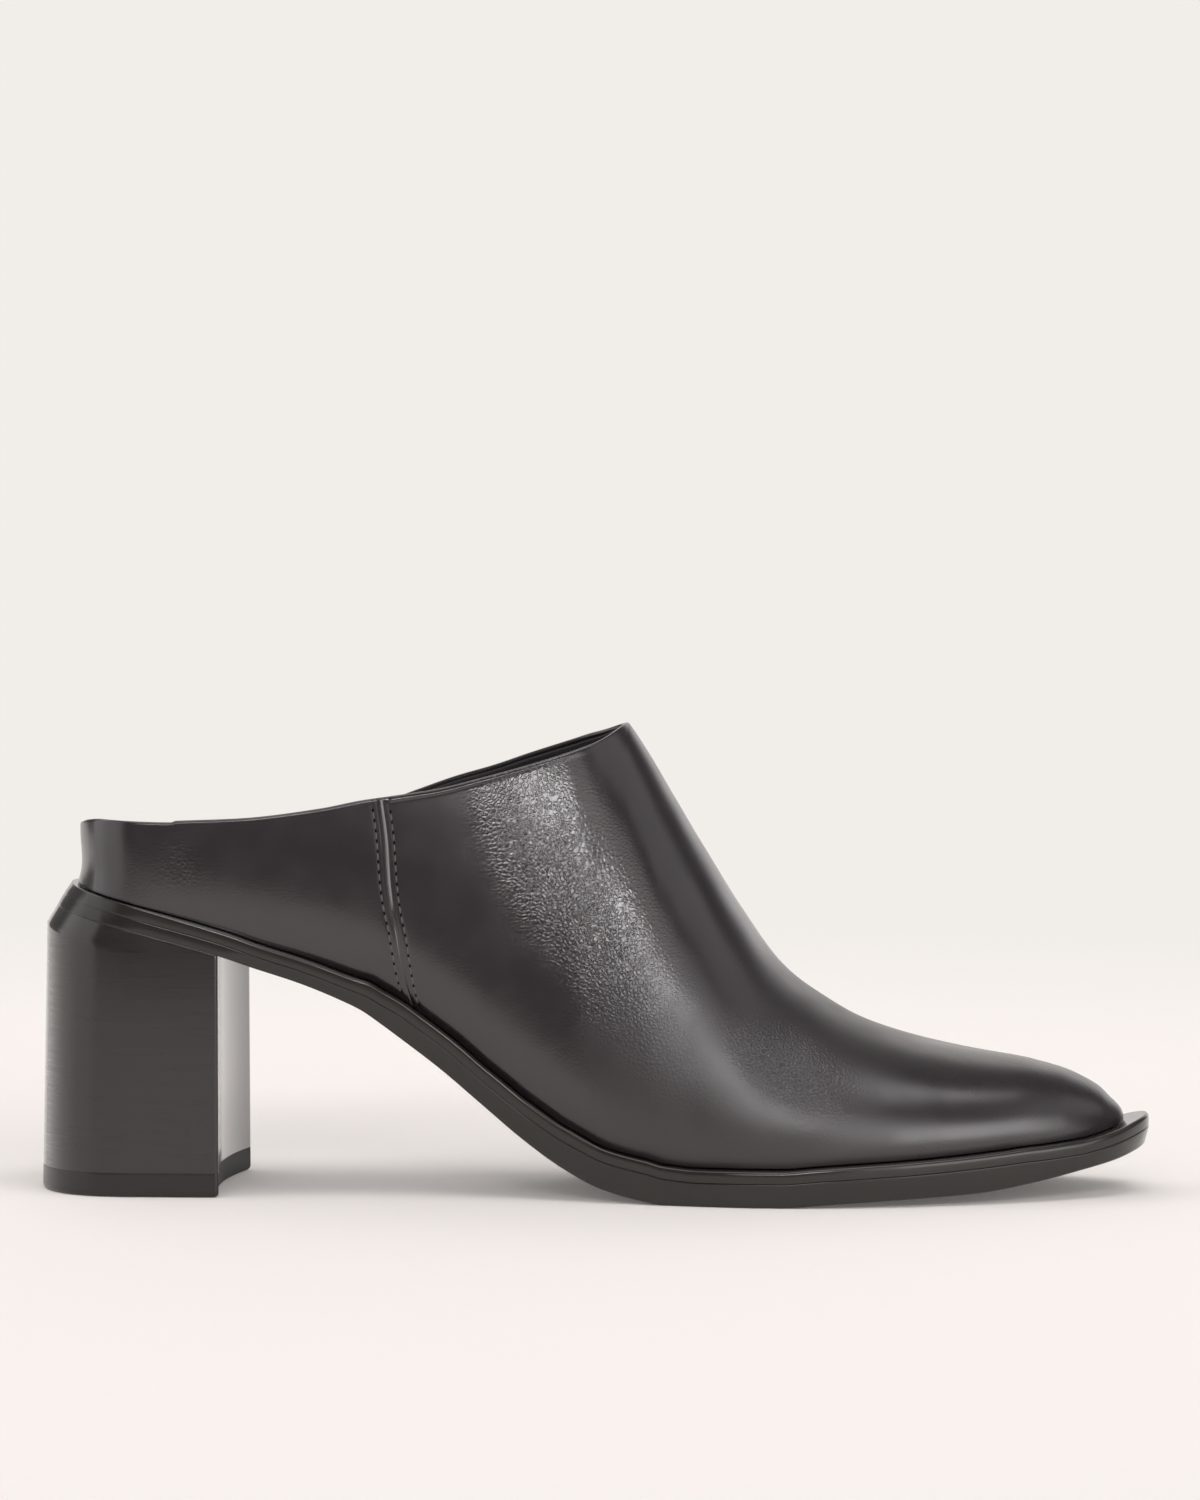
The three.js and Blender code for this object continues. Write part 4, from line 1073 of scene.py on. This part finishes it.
class MULE_OT_lining(bpy.types.Operator):
    """Lining leather inside the upper, which ends just under its rolled collar"""

    bl_idname = "mule.lining"
    bl_label = "Lining"

    def execute(self, context):
        form = Form(context.scene.mule_sizes)
        depth = form.s.leather_thickness + LINING_GAP
        face, _ = upper_face(form, LINING_ROWS, LINING_RIM)
        wall = shell(form, face, surface_normals(face), depth, form.s.upper_wall - depth,
                     inner_rows=20, rim_steps=5)
        make_mesh("upper_lining", *wall, lining_finish(context.scene.mule_colours), "upper_leather")
        return {"FINISHED"}


class MULE_OT_stitches(bpy.types.Operator):
    """Two rows of stitches beside each side seam, dark beads of painted shade in their holes, and the seam's
    cut edge, lightened in part as a painted highlight
    """

    bl_idname = "mule.stitches"
    bl_label = "Stitches"

    def execute(self, context):
        form = Form(context.scene.mule_sizes)
        threads, holes, edges = [], [], []
        for side in (OUTER, INNER):
            for offset in (-form.s.stitch_offset, form.s.stitch_offset):
                place, along, normal = seam_frames(form, side, offset, stitch_heights(form, side, offset))
                # each stitch hole gets a dark bead of painted shade
                holes.append(beads(place, along, normal, *HOLE_SHADE))
                middle = (place[:-1] + place[1:]) / 2
                threads.append(beads(middle, along[:-1], normal[:-1], *STITCH))
            # the lighter cord is partly the seam's cut edge, partly a painted highlight of its ridge
            line = seam_frames(form, side, 0.0, np.linspace(*SEAM_EDGE_AND_HIGHLIGHT_SPAN, 60))
            edges.append(cord(*line, SEAM_EDGE_AND_HIGHLIGHT_RADIUS))
        colours = context.scene.mule_colours
        make_mesh("seam_thread", *joined(threads), thread_finish(colours), "upper_leather")
        make_mesh("seam_hole_shades", *joined(holes), hole_shade_finish(), "upper_leather")
        make_mesh("seam_edge_and_highlight", *joined(edges), seam_edge_and_highlight_finish(colours), "upper_leather")
        return {"FINISHED"}


class MULE_OT_sole(bpy.types.Operator):
    """Outsole, midsole and sock, each a plate with the sole's outline and rounded edges"""

    bl_idname = "mule.sole"
    bl_label = "Sole layers"

    def execute(self, context):
        form = Form(context.scene.mule_sizes)
        colours = context.scene.mule_colours
        stations = form.stations(SOLE_STATIONS)

        def outsole_top(x):
            return form.midsole_foot(x) - JOINT

        def sock_foot(x):
            return form.midsole_top(x) + form.s.gap

        def sock_top(x):
            return sock_foot(x) + form.upright(form.s.insole_thickness, x)

        def sock_inset(x):
            return form.foot_inset(x) + form.s.upper_wall + form.s.gap + form.sock_at(form.share(x))

        def bevelled(height):
            return lambda x: form.back_bevel(x, height(x))

        def pared(x):
            return form.back_bevel(x, form.underside(x)) + form.paring_at(form.share(x))

        def radius(least, most, start, end):
            return lambda x: least + (most - least) * smooth_step(start, end, x)

        corner = form.back + form.s.heel_length
        tight, middle = 0.03 * MM, form.heel_x - 12 * MM
        outsole = edge_rows(
            form.underside, outsole_top, pared, bevelled(outsole_top),
            radius(tight, 0.7 * MM, corner, corner + 6 * MM),
            radius(tight, 0.3 * MM, middle, middle + 8 * MM), belly=0.04 * MM)
        midsole = edge_rows(
            form.midsole_foot, form.midsole_top, bevelled(form.midsole_foot), bevelled(form.midsole_top),
            radius(tight, 0.06 * MM, middle, corner), radius(0.4 * MM, 0.85 * MM, middle, corner),
            belly=0.03 * MM)
        sock = edge_rows(sock_foot, sock_top, sock_inset, sock_inset,
                         lambda x: 0.3 * MM, lambda x: 0.8 * MM)
        piece = make_mesh("outsole_leather", *plate(form, stations, outsole, SOLE_COLUMNS),
                          edge_finish(colours, "outsole_edge", 1.0), "outsole_leather")
        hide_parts("outsole")
        piece = make_mesh("midsole_leather", *plate(form, stations, midsole, SOLE_COLUMNS),
                          edge_finish(colours, "midsole_edge", 1.15), "midsole_leather")
        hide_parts("midsole")
        piece = make_mesh("sock_leather", *plate(form, stations, sock, SOLE_COLUMNS),
                          lining_finish(colours), "insole_leather")
        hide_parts("insole")
        return {"FINISHED"}


class MULE_OT_heel(bpy.types.Operator):
    """Stacked heel with its hollow breast and slanted back, and the rubber top piece under it"""

    bl_idname = "mule.heel"
    bl_label = "Heel"

    def execute(self, context):
        form = Form(context.scene.mule_sizes)
        colours = context.scene.mule_colours
        s = form.s

        def inset(x, z):
            return form.back_bevel(x, z) - s.heel_flare * (1 - z / s.heel_rise)

        def level(z):
            return lambda x: z + 0 * x

        def stack_top(x):
            return form.underside(x) - JOINT

        def breast_share(points):
            return 1 - smooth_step(0.2 * MM, 0.8 * MM, form.breast(points[:, 1]) - points[:, 0])

        stack = block_levels(level(s.top_piece_thickness + JOINT), stack_top, inset, SHARP_EDGE,
                             0.15 * MM, walls=90)
        piece = make_mesh("heel_stack", *block(form, stack), stack_finish(colours), "stacked_leather")
        point_attribute(piece, "breast", breast_share)
        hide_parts("heel")
        rubber = block_levels(level(0.0), level(s.top_piece_thickness), inset, 1.1 * MM, SHARP_EDGE,
                              walls=8)
        piece = make_mesh("heel_rubber", *block(form, rubber), rubber_finish(colours), "heel_rubber")
        point_attribute(piece, "breast", breast_share)
        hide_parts("heel_top_piece")
        return {"FINISHED"}


# Studio

# Soft panels of the studio: azimuth from straight in front (right is positive), its half width,
# elevation, its half height, softness of the border, all in degrees, then brightness
PANELS = (
    (46, 23, 12, 15, 9, 3.3), (3, 9, 27, 5, 3, 12.5), (-13, 7, 20, 3, 2, 9.5), (26, 18, 36, 6, 8, 1.3),
    (20, 98, 90, 25, 4, 3.2), (-84, 34, 10, 40, 10, 0.95), (175, 24, 5, 24, 10, 0.95),
    (-150, 35, 48, 14, 10, 1.4), (92, 28, 38, 14, 10, 0.55),
)
ROOM_LIGHT = 0.14
PAPER_GLOW = 0.11  # light that the paper near the shoe gives of itself, as if from all round the room
PAPER_FADE = (0.35, 0.9)  # distances from the shoe between which the paper turns to even, plain light
# Floor and backdrop, in metres
FLOOR_FRONT = -0.85
FLOOR_BACK = 1.0
FLOOR_LEFT = -1.3
FLOOR_RIGHT = 0.62
BEND_RADIUS = 0.8
BACKDROP_HEIGHT = 0.4
NARROWING = 0.5  # how far the left edge moves in toward the backdrop
# Camera: place in metres, tilt down and turn to the left in degrees, lens in mm
CAMERA_PLACE = (0.18995, -1.3975, 0.16244)
CAMERA_TILT = 2.5202
CAMERA_TURN = 3.41818822
CAMERA_LENS = 146.03


class Sky(Nodes):
    """World light as a sum of soft-edged rectangular panels in azimuth and elevation."""

    def __init__(self, world):
        world.use_nodes = True
        super().__init__(world.node_tree)
        self.direction = self.node("ShaderNodeTexCoord").outputs["Generated"]
        height = self.node("ShaderNodeSeparateXYZ", {0: self.direction}).outputs["Z"]
        self.elevation = self.math("ARCSINE", height)
        light = ROOM_LIGHT
        for panel in PANELS:
            light = self.math("ADD", self.panel(*panel), light)
        background = self.tree.nodes["Background"]
        background.inputs["Color"].default_value = (1.0, 0.97, 0.975, 1)
        self.tree.links.new(light, background.inputs["Strength"])

    def window(self, distance, half, soft):
        return self.between(distance, math.radians(half - soft), math.radians(half + soft), 1.0, 0.0)

    def panel(self, azimuth, half_azimuth, elevation, half_elevation, soft, brightness):
        turn = math.radians(azimuth)
        toward = self.node("ShaderNodeVectorMath", {
            0: self.direction, 1: (math.sin(turn), -math.cos(turn), 0)}, operation="DOT_PRODUCT")
        aside = self.node("ShaderNodeVectorMath", {
            0: self.direction, 1: (math.cos(turn), math.sin(turn), 0)}, operation="DOT_PRODUCT")
        off = self.math("ABSOLUTE", self.math("ARCTAN2", aside.outputs["Value"], toward.outputs["Value"]))
        above = self.math("ABSOLUTE", self.math("SUBTRACT", self.elevation, math.radians(elevation)))
        both = self.math("MULTIPLY", self.window(off, half_azimuth, soft),
                         self.window(above, half_elevation, soft))
        return self.math("MULTIPLY", both, brightness)


def sweep_mesh():
    """Floor that runs up into a narrow backdrop: flat, then a quarter circle, then upright."""
    y = np.linspace(FLOOR_FRONT, FLOOR_BACK, 40)
    bend = np.linspace(0, np.pi / 2, 30)[1:]
    rise = np.linspace(0, BACKDROP_HEIGHT, 6)[1:]
    upright = FLOOR_BACK + BEND_RADIUS
    profile = np.concatenate([
        np.stack([y, 0 * y], axis=-1),
        np.stack([FLOOR_BACK + BEND_RADIUS * np.sin(bend), BEND_RADIUS * (1 - np.cos(bend))], axis=-1),
        np.stack([upright + 0 * rise, BEND_RADIUS + rise], axis=-1)])
    across = np.linspace(0, 1, 61)
    left = FLOOR_LEFT + NARROWING * smooth_step(0.6, upright, profile[:, 0])
    points = np.empty((len(profile), len(across), 3))
    points[..., 0] = left[:, None] + (FLOOR_RIGHT - left[:, None]) * across
    points[..., 1:] = profile[:, None]
    mesh = bpy.data.meshes.new("studio_floor")
    mesh.from_pydata(points.reshape(-1, 3).tolist(), [], grid_faces(len(profile), len(across)).tolist())
    mesh.polygons.foreach_set("use_smooth", np.ones(len(mesh.polygons), bool))
    return mesh


class MULE_OT_studio(bpy.types.Operator):
    """Pale floor and backdrop, soft lights and the camera"""

    bl_idname = "mule.studio"
    bl_label = "Studio"

    def execute(self, context):
        scene = context.scene
        paper = scene.mule_colours.paper
        floor = bpy.data.objects.new("studio_floor", sweep_mesh())
        scene.collection.objects.link(floor)
        made = Finish("paper", paper, 0.9, specular=0.1)
        far = made.node("ShaderNodeVectorMath", {0: made.place}, operation="LENGTH").outputs["Value"]
        share = made.between(far, *PAPER_FADE)
        made.surface.inputs["Emission Color"].default_value = (*paper, 1)
        made.surface.inputs["Emission Strength"].default_value = PAPER_GLOW
        glow = made.node("ShaderNodeEmission", {"Color": (*paper, 1), "Strength": 1.0})
        mix = made.node("ShaderNodeMixShader", {0: share, 1: made.surface.outputs[0], 2: glow.outputs[0]})
        output = made.tree.nodes["Material Output"]
        made.tree.links.new(mix.outputs[0], output.inputs["Surface"])
        floor.data.materials.append(made.material)

        scene.world = scene.world or bpy.data.worlds.new("studio")
        Sky(scene.world)

        camera = bpy.data.cameras.new("camera")
        camera.lens = CAMERA_LENS
        camera.sensor_width = 36.0
        camera.clip_start, camera.clip_end = 0.05, 20.0
        view = bpy.data.objects.new("camera", camera)
        view.location = CAMERA_PLACE
        view.rotation_euler = (math.radians(90 - CAMERA_TILT), 0, math.radians(CAMERA_TURN))
        scene.collection.objects.link(view)
        scene.camera = view
        scene.view_settings.view_transform = "Standard"
        scene.view_settings.look = "None"
        return {"FINISHED"}


class MULE_PT_panel(bpy.types.Panel):
    """Sizes, colours and pieces of the mule"""

    bl_label = "Mule"
    bl_idname = "MULE_PT_panel"
    bl_space_type = "VIEW_3D"
    bl_region_type = "UI"
    bl_category = "Mule"

    def draw(self, context):
        for group in (context.scene.mule_sizes, context.scene.mule_colours):
            box = self.layout.box()
            for name in group.bl_rna.properties.keys():
                if name not in ("rna_type", "name"):
                    box.prop(group, name)
        for operator in OPERATORS:
            self.layout.operator(operator.bl_idname)


OPERATORS = (MULE_OT_upper, MULE_OT_lining, MULE_OT_stitches, MULE_OT_sole, MULE_OT_heel, MULE_OT_studio)
CLASSES = (MuleSizes, MuleColours, *OPERATORS, MULE_PT_panel)


def register():
    for item in CLASSES:
        bpy.utils.register_class(item)
    bpy.types.Scene.mule_sizes = PointerProperty(type=MuleSizes)
    bpy.types.Scene.mule_colours = PointerProperty(type=MuleColours)


def unregister():
    del bpy.types.Scene.mule_colours
    del bpy.types.Scene.mule_sizes
    for item in reversed(CLASSES):
        bpy.utils.unregister_class(item)


def main():
    register()
    bpy.ops.mule.upper()
    bpy.ops.mule.lining()
    bpy.ops.mule.stitches()
    bpy.ops.mule.sole()
    bpy.ops.mule.heel()
    bpy.ops.mule.studio()


if __name__ == "__main__":
    main()
